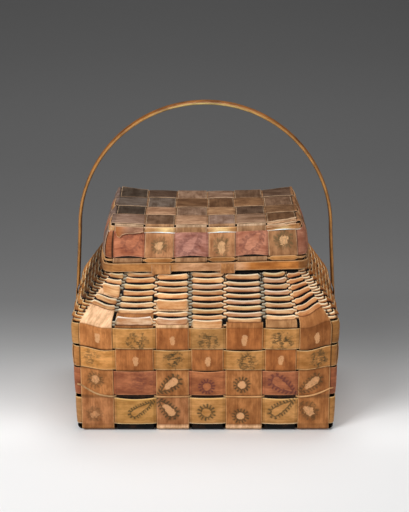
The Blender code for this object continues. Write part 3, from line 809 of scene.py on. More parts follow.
class Graph:
    """Short names for adding and wiring shader nodes."""

    def __init__(self, tree):
        self.tree = tree

    def wire(self, value, socket):
        if isinstance(value, Value):
            self.tree.links.new(value.socket, socket)
        else:
            socket.default_value = value

    def node(self, kind, inputs=None, output=0, **settings):
        made = self.tree.nodes.new("ShaderNode" + kind)
        for name, value in settings.items():
            setattr(made, name, value)
        for key, value in (inputs or {}).items():
            self.wire(value, made.inputs[key])
        return Value(self, made.outputs[output])

    def math(self, operation, *values):
        return self.node("Math", dict(enumerate(values)), operation=operation)

    def vector(self, operation, *values):
        return self.node("VectorMath", dict(enumerate(values)), operation=operation)

    def split(self, vector):
        made = self.node("SeparateXYZ", {0: vector}).socket.node
        return [Value(self, socket) for socket in made.outputs]

    def mix(self, share, first, second, way="MIX"):
        return self.node("Mix", {0: share, 6: first, 7: second}, 2, data_type="RGBA", blend_type=way)

    def noise(self, place, across, along, detail=2.0, roughness=0.5, output="Fac"):
        """Cloudy values over a map, so many to the metre along the strip and across it."""
        stretched = self.vector("MULTIPLY", place, (across, along, 1.0))
        return self.node("TexNoise", {"Vector": stretched, "Scale": 1.0, "Detail": detail,
                                      "Roughness": roughness}, output)

    def attribute(self, name, output="Fac"):
        return self.node("Attribute", output=output, attribute_name=name)

    def map(self, name):
        return self.node("UVMap", uv_map=name)


def seen(red, green, blue):
    """A colour given as seen on a screen, from 0 to 255, in linear values."""
    return tuple((channel / 255) ** 2.2 for channel in (red, green, blue)) + (1.0,)


def new_material(name):
    material = bpy.data.materials.new(name)
    material.use_nodes = True
    return material, Graph(material.node_tree), material.node_tree.nodes["Principled BSDF"].inputs


def stamp_group():
    """The printed motifs: a sun of a ring and rays, or a drop with short ticks round its outline."""
    tree = bpy.data.node_groups.new("stamp", "ShaderNodeTree")
    for name in ("Ink", "Fill"):
        tree.interface.new_socket(name, in_out="OUTPUT", socket_type="NodeSocketFloat")
    graph = Graph(tree)
    wood = graph.vector("MULTIPLY", graph.map("strip"), (125.0, 125.0, 1.0))
    faded = graph.attribute("faded")
    form, ink, fill = graph.split(graph.attribute("mark", "Vector"))
    tip = graph.attribute("mark", "Alpha").at_least(0.5)

    # Ink that ran: the stamp's coordinates are shifted unevenly
    smear = graph.vector("SUBTRACT", graph.noise(wood, 1.3, 1.3, output="Color"), (0.5, 0.5, 0.5))
    shift = graph.node("VectorMath", {0: smear, "Scale": faded * 2.2 + 0.35}, operation="SCALE")
    x, y, _ = graph.split(graph.vector("ADD", graph.map("stamp"), shift))

    # Distance from the outline of the sun or the drop, in radii
    radius = graph.math("SQRT", x * x + y * y)
    ahead = graph.math("GREATER_THAN", x, 0.0)
    behind = radius - 1.0
    beside = abs(y) - (1.0 - (x.at_least(0.0) / tip) ** 2.1)
    edge = form * (ahead * beside + (1.0 - ahead) * behind) + (1.0 - form) * behind
    edge = edge + (graph.noise(wood, 1.7, 1.7, 1.0) - 0.5) * 0.35

    # Rays or ticks round the outline
    back_arc = graph.math("ARCTAN2", (x * -1.0).at_least(0.0), abs(y))
    drop_comb = graph.math("SINE", (x.at_least(0.0) - back_arc) * 9.0)
    sun_comb = graph.math("SINE", graph.math("ARCTAN2", y, x) * 14.0)
    comb = form * drop_comb + (1.0 - form) * sun_comb
    rays = comb.ramp(-0.5, 0.4) * edge.ramp(0.60, 0.95, 1.0, 0.0) * edge.ramp(0.0, 0.15)
    line = abs(edge).ramp(0.08, 0.26, 0.85, 0.0)
    worn = graph.noise(wood, 2.3, 2.3, 3.0, 0.65)
    drawn = line.at_least(rays * 0.9) * worn.ramp(0.32, 0.50, 0.45, 1.0)
    halo = edge.ramp(0.0, 1.2, 0.38, 0.0) * edge.ramp(-0.25, 0.1)
    drawn = drawn.at_least(halo)

    # A faded print is rubbed away in places and smudged
    blots = graph.noise(wood, 0.9, 0.9, 1.0)
    strokes = graph.noise(wood, 1.5, 3.4, 3.0, 0.6)
    spread = radius.ramp(0.6, 2.1, 1.5, 0.0) * blots.ramp(0.34, 0.52)
    smudge = (spread * strokes.ramp(0.40, 0.60)).clamped()
    rubbed = drawn * 0.8 * blots.ramp(0.44, 0.56)
    drawn = drawn * (1.0 - faded) + rubbed.at_least(smudge) * faded

    # The light patch inside the outline
    inside = (edge + (worn - 0.5) * 1.5).ramp(-0.30, -0.10, 1.0, 0.0)
    inside = inside * (x / tip * form).ramp(0.60, 0.75, 1.0, 0.0)
    out = tree.nodes.new("NodeGroupOutput")
    graph.wire((drawn * ink).clamped(), out.inputs[0])
    graph.wire((inside * fill * worn.ramp(0.3, 0.5, 0.5, 1.0)).clamped(), out.inputs[1])
    return tree


def splint_material(stamp, name, light, dark, worn, roughness, ink=None, fill=None, streak=1.0,
                    edge_wear_and_highlight=0.7, edge_width=0.0014, lower=None, upper=None, gloss=0.15):
    """Split wood: long streaks, fine fibres, patches, light arrises that are partly wear and partly a painted
    highlight, and dirt and painted shade where splints cross.
    """
    material, graph, shader = new_material(name)
    light, dark, worn = seen(*light), seen(*dark), seen(*worn)
    place = graph.map("strip")
    edge = graph.attribute("edge")
    streaks = graph.noise(place, 16.0, 420.0, 3.0, 0.6)
    fibres = graph.noise(place, 70.0, 2600.0, 2.0, 0.6)
    patches = graph.noise(place, 42.0, 75.0, 3.0, 0.65)
    stains = graph.noise(place, 19.0, 31.0)
    specks = graph.noise(place, 420.0, 900.0, 2.0, 0.7)
    share = streaks * (0.30 * streak) + patches * 0.85 + fibres * (0.12 * streak) - 0.21 * (streak - 1)
    colour = graph.mix(share.ramp(0.42, 0.86), dark, light)
    colour = graph.mix(stains.ramp(0.5, 0.72, 0.0, 0.55), colour, dark)
    # Light arrises: partly wear and partly a painted highlight where the edges would catch the light
    wear_and_highlight = edge.ramp(0.25 * edge_width, edge_width, 1.0, 0.0) * patches.ramp(0.35, 0.6, 0.45, 1.0)
    # The lower and upper colours are bands painted along the lower and upper edge; the finishes say where they
    # paint a highlight or glare
    if lower:
        above = graph.attribute("across").ramp(0.42, 0.58)
        inwards = edge + (patches - 0.5) * 0.003
        near_lower = inwards.ramp(0.0004, 0.0018, 0.85, 0.0) * (1.0 - above)
        near_upper = inwards.ramp(0.0008, 0.0028, 0.95, 0.0) * above
        colour = graph.mix(near_lower, colour, seen(*lower))
        colour = graph.mix(near_upper, colour, seen(*upper))
        wear_and_highlight = wear_and_highlight * above
    colour = graph.mix(1.0, colour, graph.attribute("tint", "Color"), "MULTIPLY")
    colour = graph.mix(specks.ramp(0.62, 0.75, 0.0, 0.35), colour, dark)
    colour = graph.mix(wear_and_highlight * edge_wear_and_highlight, colour, worn)
    if ink:
        printed, filled = (graph.node("Group", output=output, node_tree=stamp) for output in ("Ink", "Fill"))
        colour = graph.mix(filled * 0.9, colour, seen(*fill))
        colour = graph.mix(printed * 0.92, colour, seen(*ink))
    # Dirt and painted shade darken the colour towards near black: a little dirt on shown squares, and painted shade
    # in gaps, slots and crevices, under the lid's rim and on squares that lie behind
    dirt_and_shade = (graph.attribute("dirt_and_shade") * patches.ramp(0.3, 0.6, 1.0, 1.12)).clamped()
    graph.wire(graph.mix(dirt_and_shade, colour, seen(14, 9, 6)), shader["Base Color"])
    graph.wire(streaks.ramp(0.3, 0.7, roughness - 0.08, roughness + 0.12), shader["Roughness"])
    relief = graph.node("Bump", {"Strength": 0.7, "Distance": 0.0004, "Height": fibres + streaks * 1.5})
    graph.wire(relief, shader["Normal"])
    shader["Specular IOR Level"].default_value = gloss
    return material


# Finishes: name, light, dark and worn colour as seen on a screen, roughness and what else differs; the worn colour
# also paints highlights on the arrises
INK, RED_INK, LIGHT_FILL = (62, 57, 38), (96, 52, 52), (236, 178, 126)
YELLOW_LOOK = ((216, 156, 94), (162, 111, 57), (244, 206, 150), 0.5)
YELLOW_PRINT = {"ink": INK, "fill": (206, 142, 80), "edge_wear_and_highlight": 0.85}
FINISHES = {
    "stake": ("tan_stake_finish", (202, 136, 82), (140, 86, 46), (230, 180, 124), 0.5,
              {"ink": INK, "fill": LIGHT_FILL}),
    "yellow": ("yellow_splint_finish", *YELLOW_LOOK, YELLOW_PRINT),
    # The bottom weft: lower paints a highlight along its lower edge, upper a lighter band along its top edge
    "foot": ("foot_splint_finish", *YELLOW_LOOK,
             {**YELLOW_PRINT, "lower": (255, 222, 172), "upper": (236, 178, 104)}),
    "red": ("red_splint_finish", (204, 126, 84), (138, 78, 52), (222, 156, 112), 0.5,
            {"ink": RED_INK, "fill": (196, 120, 78)}),
    # The bricks: upper paints a highlight along each top edge, lower darkens the lower edge
    "plain": ("undyed_splint_finish", (232, 184, 132), (186, 122, 72), (255, 234, 200), 0.45,
              {"streak": 2.4, "edge_wear_and_highlight": 0.8, "edge_width": 0.0012,
               "lower": (134, 78, 48), "upper": (255, 230, 190)}),
    "binder": ("binder_finish", (214, 152, 92), (160, 104, 60), (232, 184, 130), 0.45, {}),
    "lid": ("lid_splint_finish", (206, 156, 112), (134, 92, 60), (226, 188, 150), 0.5,
            {"ink": (84, 82, 56), "fill": (240, 186, 134), "edge_width": 0.0013}),
    "lid_red": ("lid_red_finish", (216, 148, 116), (156, 94, 70), (232, 168, 138), 0.5,
                {"ink": RED_INK, "fill": LIGHT_FILL}),
    # The lid's edge weft: lower paints a white glare along the lower edge
    "lid_light": ("lid_weft_finish", (226, 168, 106), (168, 108, 56), (250, 222, 186), 0.3,
                  {"edge_wear_and_highlight": 0.5, "gloss": 0.5, "lower": (255, 242, 224), "upper": (206, 140, 78)}),
    "hoop": ("hoop_finish", (206, 142, 82), (142, 88, 44), (236, 188, 136), 0.4, {"edge_width": 0.0016}),
    "handle": ("handle_finish", (176, 110, 48), (106, 62, 26), (224, 168, 96), 0.34,
               {"edge_wear_and_highlight": 0.3, "gloss": 0.4}),
}


def make_materials():
    stamp = stamp_group()
    return {key: splint_material(stamp, *look, **special) for key, (*look, special) in FINISHES.items()}


# Printed motifs, for each course of the front wall from the foot up and each column from the left:
# form (0 sun, 1 drop), millimetres right and up from the square's middle, turn, radius and tip length in
# millimetres, ink, light fill, fading
SUN, DROP = 0.0, 1.0
WALL_STAMPS = (
    ((SUN, -4.9, -4.8, 0, 7.2, 0, 0.55, 0.45, 0.5), (DROP, -1.6, -2.5, 33, 5.4, 31.4, 1, 0.15, 0),
     (DROP, -1.5, -2.5, 133, 7, 26, 1, 0.9, 0), (SUN, -1.3, -2, 0, 7.8, 0, 1, 0.15, 0),
     (SUN, -5.1, -8, 0, 7.2, 0, 0.95, 1, 0), (DROP, -6.8, -0.6, 35, 6.6, 29.5, 1, 0.1, 0),
     (DROP, -5.2, -1, 137, 8, 16.5, 0.8, 0.85, 0.3)),
    ((SUN, -2.1, 4.5, 0, 7.2, 0, 0.85, 0.8, 0.3), (DROP, 6, 2, 20, 8, 26, 0.5, 0, 1),
     (DROP, 2.3, 3.1, 220, 7, 25, 1, 0.9, 0), (SUN, -0.7, -4.5, 0, 7, 0, 1, 0.25, 0),
     (SUN, -2.6, -2.3, 0, 7.4, 0, 1, 1, 0), (DROP, -5.5, 3.4, -35, 7.6, 29.6, 1, 0.1, 0.1),
     (DROP, 2.2, 4, 219, 6.6, 28, 0.9, 0.8, 0.2)),
    ((SUN, -7, 1, 0, 8, 0, 0.6, 0, 1), (DROP, 1.9, 1.2, 268, 5.4, 15, 0.05, 0.75, 0),
     (SUN, 2.3, 0, 0, 8.4, 0, 1, 0.1, 0.9), (DROP, 0.7, 1, 272, 5.2, 15.5, 0.05, 0.85, 0),
     (SUN, 4.4, -2, 0, 8.6, 0, 1, 0.1, 0.8), (DROP, 0.7, 3, 265, 5, 15, 0.05, 0.8, 0),
     (SUN, 6, 0, 0, 7.8, 0, 1, 0.1, 0.7)),
    ((DROP, 2.9, 3, 268, 5, 16, 0.05, 0.9, 0), (SUN, 4.7, -4.3, 0, 8.8, 0, 1, 0, 0.8),
     (DROP, 0.2, 0, 270, 4.6, 14.5, 0.05, 0.75, 0), (SUN, 0, -5, 0, 9.2, 0, 1, 0.2, 0.75),
     (DROP, 0.4, 2, 265, 5.2, 19, 0.05, 0.8, 0), (SUN, 0, -5, 0, 9.2, 0, 1, 0, 0.85),
     (DROP, 1.5, 1, 276, 5.2, 18.5, 0.05, 0.75, 0)))
LID_STAMPS = {1: (SUN, 0, -1.2, 0, 7, 0, 0.75, 0.95, 0.35),
              3: (DROP, -1.2, -1, 278, 7, 18.5, 0.75, 0.95, 0.35),
              5: (SUN, 1.2, 3, 0, 8, 0, 0.8, 1, 0.35)}
LID_RED_STAMPS = {0: (DROP, 2, 0, 45, 8, 22, 0.6, 0, 0.3), 2: (DROP, -6, -5, 48, 8.5, 26, 0.65, 0, 0.3),
                  4: (DROP, -3, -4, 50, 8.5, 26, 0.65, 0, 0.2)}

# Tones of single squares against their stock's own colour, as seen on a screen
TONES = {
    "plain": (1.0, 1.0, 1.0), "bright": (1.12, 1.11, 1.10), "fair": (1.05, 1.05, 1.06),
    "deep": (0.93, 0.90, 0.88), "shaded": (0.87, 0.83, 0.78), "russet": (1.01, 0.94, 0.88),
    "rosy": (1.00, 1.01, 1.10), "ochre": (1.00, 1.01, 0.96), "mauve": (1.00, 1.04, 1.16),
    "grey": (0.80, 0.84, 0.95), "ash": (0.70, 0.78, 0.86), "brown": (0.84, 0.80, 0.76),
    "umber": (0.74, 0.72, 0.70), "dark": (0.60, 0.62, 0.68), "black": (0.44, 0.49, 0.57),
    "sooty": (0.54, 0.56, 0.63), "tarry": (0.60, 0.58, 0.57), "dusky": (0.66, 0.68, 0.75),
    "murky": (0.60, 0.69, 0.85), "slate": (0.85, 0.92, 1.12), "slaty": (0.76, 0.84, 1.06),
    "pinkish": (1.24, 1.36, 1.75), "orange": (1.11, 1.03, 0.90), "pale": (1.32, 1.60, 2.02),
    "peach": (1.12, 1.24, 1.40), "gold": (0.90, 0.80, 0.64), "honey": (0.89, 0.75, 0.57),
    "amber": (0.72, 0.62, 0.49), "warm": (1.12, 1.06, 1.03), "copper": (0.96, 0.86, 0.79),
    "palest": (1.48, 1.80, 2.36), "glare": (1.26, 1.48, 1.68),
}
# In the upper three courses the last column is toned deep or shaded as painted shade, and in the top two courses
# the first is bright as painted light
WALL_TONES = [line.split() for line in (
    "rosy ochre rosy fair plain fair plain", "fair plain fair ochre fair plain deep",
    "bright russet plain russet plain russet deep", "bright bright russet plain russet fair shaded")]
LID_TOP_TONES = [line.split() for line in (
    "slate dusky mauve slate grey tarry", "black mauve grey plain sooty umber",
    "murky murky tarry tarry umber dusky", "black sooty grey grey dark sooty")]
LID_RED_TONES = "russet plain mauve plain fair plain".split()
# The first column's binder is dark, as painted shade in the hole above it
BINDER_TONES = "dark umber deep plain bright bright bright".split()
BRICK_TONES = "plain plain fair russet rosy ochre deep bright".split()
HOOP_TONES = (("fair", 0.335), ("pinkish", 0.69), ("orange", 1.0))


def named(word):
    """A named tone in linear values."""
    return tuple(channel ** 2.2 for channel in TONES[word])


def tone(seed, spread=0.07):
    """A small seeded change of brightness and warmth for one square."""
    source = random.Random(f"tone {seed}")
    light = 1 + source.uniform(-spread, spread)
    warmth = source.uniform(-0.03, 0.03)
    return (light * (1 + warmth), light, light * (1 - warmth * 1.5))


def toned(word, seed, spread=0.05):
    """The named tone with a small seeded change."""
    return tuple(one * other for one, other in zip(named(word), tone(seed, spread)))


def printed(stamp):
    """A stamp of the tables above with its lengths in metres."""
    form, right, up, turn, radius, length, ink, fill, fading = stamp
    return (form, right / 1000, up / 1000, turn, radius / 1000, length / 1000, ink, fill, fading)


def stretched_ring(along, across):
    return along, across


# The basket

WALL_COURSE_NODES = ("bottom_yellow_weft", "red_weft", "lower_narrow_weft", "upper_narrow_weft")
WALL_COURSE_TURNS = (0, 2, 3, 4)
BODY_POSITIONS = (0, 7, 12, 19, 24)

# How far the middle of a square sags, and the squares whose upper edge sags further
WALL_SMILE = 0.0004
TOP_SAGS = {(0, 1): 0.0018, (0, 5): 0.0008, (1, 3): 0.0010, (2, 4): 0.0008}


def position_place(position):
    """The face and the column, left to right from outside, of a body position."""
    face = next(face for face in FACES if position < BODY_POSITIONS[face + 1])
    return face, position - BODY_POSITIONS[face]


def wall_mark(course, position):
    """The motif on a square of the wall: placed as photographed in front, and by a seeded draw elsewhere."""
    face, column = position_place(position)
    form, right, up, turn, *rest = printed(WALL_STAMPS[course][column])
    if face != FRONT:
        source = random.Random(f"mark {course} {face} {column}")
        right, up = right * source.uniform(-1, 1), up * source.uniform(-1, 1)
        turn += source.uniform(-25, 25)
    return (form, right, up, turn, *rest)


def wall_tone(course, node, position):
    """The tone of a square of the wall: named in front, a seeded draw elsewhere."""
    face, column = position_place(position)
    word = WALL_TONES[course][column]
    if face != FRONT:
        word = random.Random(f"tone of {node} {position}").choice(WALL_TONES[course])
    return toned(word, f"{node} {position}")


def make_wall_wefts(materials):
    bulge = HANDLE_TONGUE_STANDOFF + HANDLE_TONGUE_THICKNESS + CLEARANCE + WEFT_THICKNESS / 2

    def bulge_of(face, place, offset):
        """Where a side's weft passes over the handle's tongue it stands out further."""
        if along_x(face) or offset <= 0:
            return offset
        return bulge * smooth(1.6 - abs(place) / (HANDLE_WIDTH / 2) * 0.8)

    for course, (node, turn) in enumerate(zip(WALL_COURSE_NODES, WALL_COURSE_TURNS)):
        foot, top = band(node)

        def outside_of(position, turn=turn):
            return (position + turn) % 2 == 1

        def tint_of(position, share, node=node, course=course):
            return wall_tone(course, node, position)

        def brick_of(position, share, outside, foot=foot, top=top, course=course):
            bow = arch(share) if outside else 0.0
            sag = WALL_SMILE + TOP_SAGS.get((course, position), 0.0)
            return foot - 0.6 * WALL_SMILE * bow, top - sag * bow, 0.0, 0.0

        strip = weft_strip(BODY, foot, top, outside_of, WALL_SWING, 6, node, tint_of, brick_of,
                           bulge_of=bulge_of if node in ("red_weft", "upper_narrow_weft") else None,
                           corner_crease_shade=course > 1)
        for position in filter(outside_of, range(BODY_POSITIONS[-1])):
            strip.marks[position] = (wall_mark(course, position), stretched_ring)
        finish, slot = ("red", "red_splint") if node == "red_weft" else ("yellow", "yellow_splint")
        strip_object(f"{node}_finish", strip, WEFT_THICKNESS, materials[finish if course else "foot"],
                     BASKET, slot, [node])

    def binder_lift(face, along):
        near = 1 - (BODY.outer(face, BINDER_HEIGHT) - abs(along)) / BINDER_LIFT_REACH
        return BINDER_LIFTS[corner_at(face, along)] * max(near, 0.0) ** 2

    strip = weft_strip(BODY, *band("binder_weft"), lambda position: position % 2 == 0, BINDER_SWING, 2,
                       "binder", lambda position, share: named(BINDER_TONES[position % 7]),
                       own_lift=binder_lift)
    strip_object("binder_weft_finish", strip, BINDER_THICKNESS, materials["binder"], BASKET,
                 "tan_stake_splint", ["binder_weft"])


# Bricks of the shoulder that differ from their neighbours, by weft and position: height and shift.
# A hidden brick stays behind its stake and leaves it bare
ODD_BRICKS = {(12, 0): (0.0140, -0.0034), (8, 2): (0.0125, -0.0036), (2, 2): (0.0090, -0.0010),
              (1, 3): (0.0115, -0.0012), (1, 1): (0.0105, 0.0032), (16, 2): (0.0064, 0.0009),
              (16, 4): (0.0062, 0.0008), (17, 1): (0.0048, -0.0004), (17, 3): (0.0052, -0.0006),
              (17, 5): (0.0050, 0.0)}
ODD_BRICK_TONES = {(12, 0): "bright", (8, 2): "bright", (1, 3): "fair", (2, 2): "rosy", (1, 1): "mauve"}
HIDDEN_BRICKS = {(10, 0), (4, 0), (2, 0), (0, 0), (6, 2), (0, 2), (3, 1), (1, 5), (0, 6), (2, 6), (0, 4)}
BARE_TONES = {0: "palest", 2: "pale", 4: "fair", 5: "peach", 6: "fair"}
COPPER_COLUMN = 6
# Slots between two stakes that are painted black as shade, by weft and the position left of the slot, and at the
# upright corners, by weft and the face that ends there
SLOT_SHADES = {(2, 0), (3, 0), (4, 0), (11, 0), (3, 1), (9, 1), (1, 3), (2, 3), (0, 4), (1, 4), (2, 4), (0, 5),
         (1, 5), (2, 5)}
CORNER_SLOT_SHADES = {(1, FRONT), (2, FRONT), (3, LEFT), (4, LEFT), (9, LEFT), (10, LEFT)}


def shoulder_height(index):
    return SHOULDER_FOOT + (index + 0.5) * SHOULDER_WEFT_PITCH


def make_shoulder_weft(index, materials):
    """One narrow weft of the shoulder, counted from the lowest."""
    middle = shoulder_height(index)
    narrow = BRICK_NARROW_HEIGHT / 2
    source = random.Random(f"shoulder {index}")
    positions = range(BODY_POSITIONS[-1])
    sizes = [BRICK_HEIGHT * source.uniform(0.93, 1.07) * BRICK_COLUMN_SIZES[position % 7]
             for position in positions]
    shifts = [source.uniform(-0.0004, 0.0004) for position in positions]

    def outside_of(position):
        usual = (position + SHOULDER_FIRST_TURN + index) % 2 == 1
        return usual and (index, position) not in HIDDEN_BRICKS

    def brick_of(position, share, outside):
        bow = math.sin(math.pi * min(share, 1))
        if not outside:
            sunk = BRICK_SUNK if (index, position) in HIDDEN_BRICKS else 0.0
            return middle - narrow, middle + narrow, 0.0, -sunk * bow
        height, shift = ODD_BRICKS.get((index, position), (sizes[position], shifts[position]))
        swell = smooth(min(share, 1 - share) / 0.06)
        half = between(narrow, height / 2 + BRICK_END_FLARE / 2 * (1 - bow), swell)
        centre = middle + shift * swell - BRICK_SMILE * bow
        if height > WIDE_BRICK_HEIGHT or index > 15:
            bow *= WIDE_BRICK_BOW
        return centre - half, centre + half, BRICK_LIP * bow, BRICK_CROWN * bow

    def tint_of(position, share):
        """Bricks vary, and their ends go grey at every other boundary and pale at the rest."""
        seed = f"shoulder {index} {position}"
        in_front = position < 7
        greyed = position < 6 and position % 2 == (0 if share > 0.5 else 1)
        # Bricks on the sides take darker tones than those in front, darkest high on the left, as painted shade
        side = "honey" if position <= 18 else "gold" if index < 7 else "amber"
        word = random.Random(seed).choice(BRICK_TONES) if in_front else side
        word = "copper" if position == COPPER_COLUMN else ODD_BRICK_TONES.get((index, position), word)
        turned = 1.0 if share > 1 else end_share(share, 0.09 if greyed else 0.06)
        return mixed(toned(word, seed, 0.08), named("ash" if greyed else "bright" if in_front else side),
                     turned)

    def grime_of(position, share, outside):
        if share > 1:
            # A painted shadow of the lid's rim in the gaps of the top wefts, and painted black in the slots
            rim_shadow = index > 14 and 1 <= position < 6
            return 1.0 if (index, position) in SLOT_SHADES or rim_shadow else 0.1
        # A brick's end beside a slot is painted black as shade
        slot = (index, position if share > 0.5 else position - 1)
        if slot in SLOT_SHADES and min(share, 1 - share) < 0.04:
            return 1.0
        # Painted shade on the sides, deepest high on the left
        in_shade = 0.0 if position < 7 else 0.58 if position > 18 and index > 5 else 0.12
        if outside:
            return in_shade + 0.2 * end_share(share, 0.04)
        return max(in_shade, 0.9 * (1 - end_share(share, 0.06)))

    def corner_grime_of(face, step):
        # Painted shade at the corners: black in a slot, and darker high on the left
        if (index, face) in CORNER_SLOT_SHADES and step == (4 if face == LEFT else 0):
            return 1.0
        return 0.45 if face == LEFT and index > 5 and step < 4 else 0.12

    strip = weft_strip(BODY, middle - narrow, middle + narrow, outside_of, SHOULDER_SWING, 5,
                       f"shoulder {index}", tint_of, brick_of, 0.0, grime_of=grime_of,
                       corner_grime_of=corner_grime_of, corner_steps=6)
    node = f"shoulder_weft_{index + 1:02d}"
    strip_object(f"{node}_finish", strip, WEFT_THICKNESS, materials["plain"], BASKET, "undyed_splint",
                 [node])


def splint_numbers(shell, groups):
    """Node, faces and number of each splint of the groups, given by prefix and faces."""
    for prefix, faces in groups:
        for index in range(len(shell.columns if along_x(faces[0]) else shell.rows)):
            yield f"{prefix}_{index + 1}", faces, index


def body_position(face, index):
    """The position of a stake on a face, from its number."""
    from_left = index if face in (FRONT, RIGHT) else len(BODY.flat_spans(face)) - 1 - index
    return BODY_POSITIONS[face] + from_left


def make_body_stakes(materials):
    courses = [(turn, *band(node)) for turn, node in zip(WALL_COURSE_TURNS, WALL_COURSE_NODES)]
    steps = 48

    def ends(face, index):
        """Up the shoulder to the neck, bare where a brick is hidden, and elsewhere painted near black as shade
        behind the bricks.
        """
        position = body_position(face, index)
        bare = [shoulder_height(weft) for weft, hidden in HIDDEN_BRICKS if hidden == position]
        rows = []
        for step in range(steps + 1):
            height = between(SHOULDER_FOOT, NECK_FOOT + NECK_TOP_OVER_FOOT, step / steps)
            shown = any(abs(height - middle) < 1.15 * SHOULDER_WEFT_PITCH for middle in bare)
            rows.append((height, 0.0008 if shown else 0.0, 0.03 if shown else smooth(step / 2)))
        return rows

    signs = {FRONT: (1, -1), BACK: (-1, 1), LEFT: (-1, -1), RIGHT: (1, 1)}
    groups = (("front_back_stake", (FRONT, BACK)), ("side_stake", (LEFT, RIGHT)))
    for node, faces, index in splint_numbers(BODY, groups):
        def tint_of(square, node=node, index=index):
            face, course = square
            position = body_position(face, index) if face in FACES else None
            if face in FACES and isinstance(course, int):
                return wall_tone(course, node, position)
            if course == "end":
                return named(BARE_TONES.get(position, "fair"))
            # The bends of the third and fifth columns are palest, a painted highlight on their rounded foot
            if course == "bend" and position in (2, 4):
                return named("palest")
            return tone(f"{node} {square}")

        strip = stake_strip(BODY, faces, index, courses, ends, 8, node, tint_of)
        for face in faces:
            position = body_position(face, index)
            for course, turn in enumerate(WALL_COURSE_TURNS):
                if (position + turn) % 2 == 0:
                    strip.marks[(face, course)] = (
                        wall_mark(course, position),
                        lambda along, across, signs=signs[face]: (signs[0] * across, signs[1] * along))
        strip_object(f"{node}_finish", strip, STAKE_THICKNESS, materials["stake"], BASKET,
                     "tan_stake_splint", [node])


def make_hoops(materials):
    for prefix, shell, body, stock in (("neck", BODY, BASKET, STAKE_THICKNESS),
                                       ("lid_rim", LID, LID_BODY, LID_SPLINT_THICKNESS)):
        grip = stock / 2 + CLEARANCE + HOOP_THICKNESS / 2
        for name, side in (("outer", 1), ("inner", -1)):
            node = f"{prefix}_{name}_hoop"
            strip = hoop_strip(shell, *band(node), side * grip, 4, node)
            strip_object(f"{node}_finish", strip, HOOP_THICKNESS, materials["hoop"], body, "hoop_wood",
                         [node])


# The lid

# Where a painted glare brightens the edge weft: the middle and the reach as shares of a square
EDGE_GLARES = {1: (0.72, 0.5), 3: (0.45, 0.6), 5: (0.5, 0.4)}
EDGE_ARCH = 0.0011
RED_ARCH = 0.0026


def add_tab(strip, index):
    """Turns a front splint's end outwards under the rim hoop and up over it, as a narrower tab."""
    low, high = (between(*LID.columns[index], share) for share in LID_TAB_SPAN_SHARES[index])
    under = LID_SEAT - LID_TAB_DROP
    top = LID_SEAT + LID_TAB_HEIGHT
    outside = LID_SPLINT_THICKNESS + 2 * CLEARANCE + HOOP_THICKNESS
    path = ((top, outside), (top - 0.0006, outside), (LID_SEAT + 0.005, outside + 0.0002),
            (under + 0.0010, outside), (under, outside - 0.0006), (under, 0.0006))
    strip.rows[:0] = [([LID.settle(face_point(LID, FRONT, between(low, high, v), height, offset))
                        for v in strip.shares], (FRONT, "tab"), 0.05, named("orange"))
                      for height, offset in path]


def loose_piece(name, rows, material, slot):
    """A torn or frayed end of a splint on the lid: rows of points from edge to edge, with their tints."""
    strip = Strip(False, 1.0, 2)
    count = len(rows[0][0])
    strip.shares = [step / (count - 1) for step in range(count)]
    for points, tint in rows:
        strip.add([LID.settle(point) for point in points], None, 0.0, tint)
    strip_object(name, strip, LOOSE_THICKNESS, material, LID_BODY, slot, [])


# The torn flap at the lid's left front corner: how far it hangs at each share of the column
FLAP_DROPS = ((0.0, 0.0105), (0.07, 0.0150), (0.15, 0.0165), (0.22, 0.0128), (0.35, 0.0108), (0.5, 0.0100),
              (0.62, 0.0104), (0.75, 0.0092), (0.88, 0.0086), (1.0, 0.0070))
FLAP_TONES = (1.15, 0.78, 0.52), (0.85, 0.82, 1.05)
# The frayed strands at the right front corner: heights of both ends against the lid's top
FRAYED_STRANDS = ((0.0016, 0.0058), (-0.0008, 0.0030), (-0.0034, 0.0002), (-0.0060, -0.0028))
STRAND_STEPS = 14
# The end that curls at the right front corner: turn in degrees and reach at its start and at its end
CURL_TURN = (200, -90)
CURL_REACH = (0.0040, 0.0052)
CURL_STEPS = 16


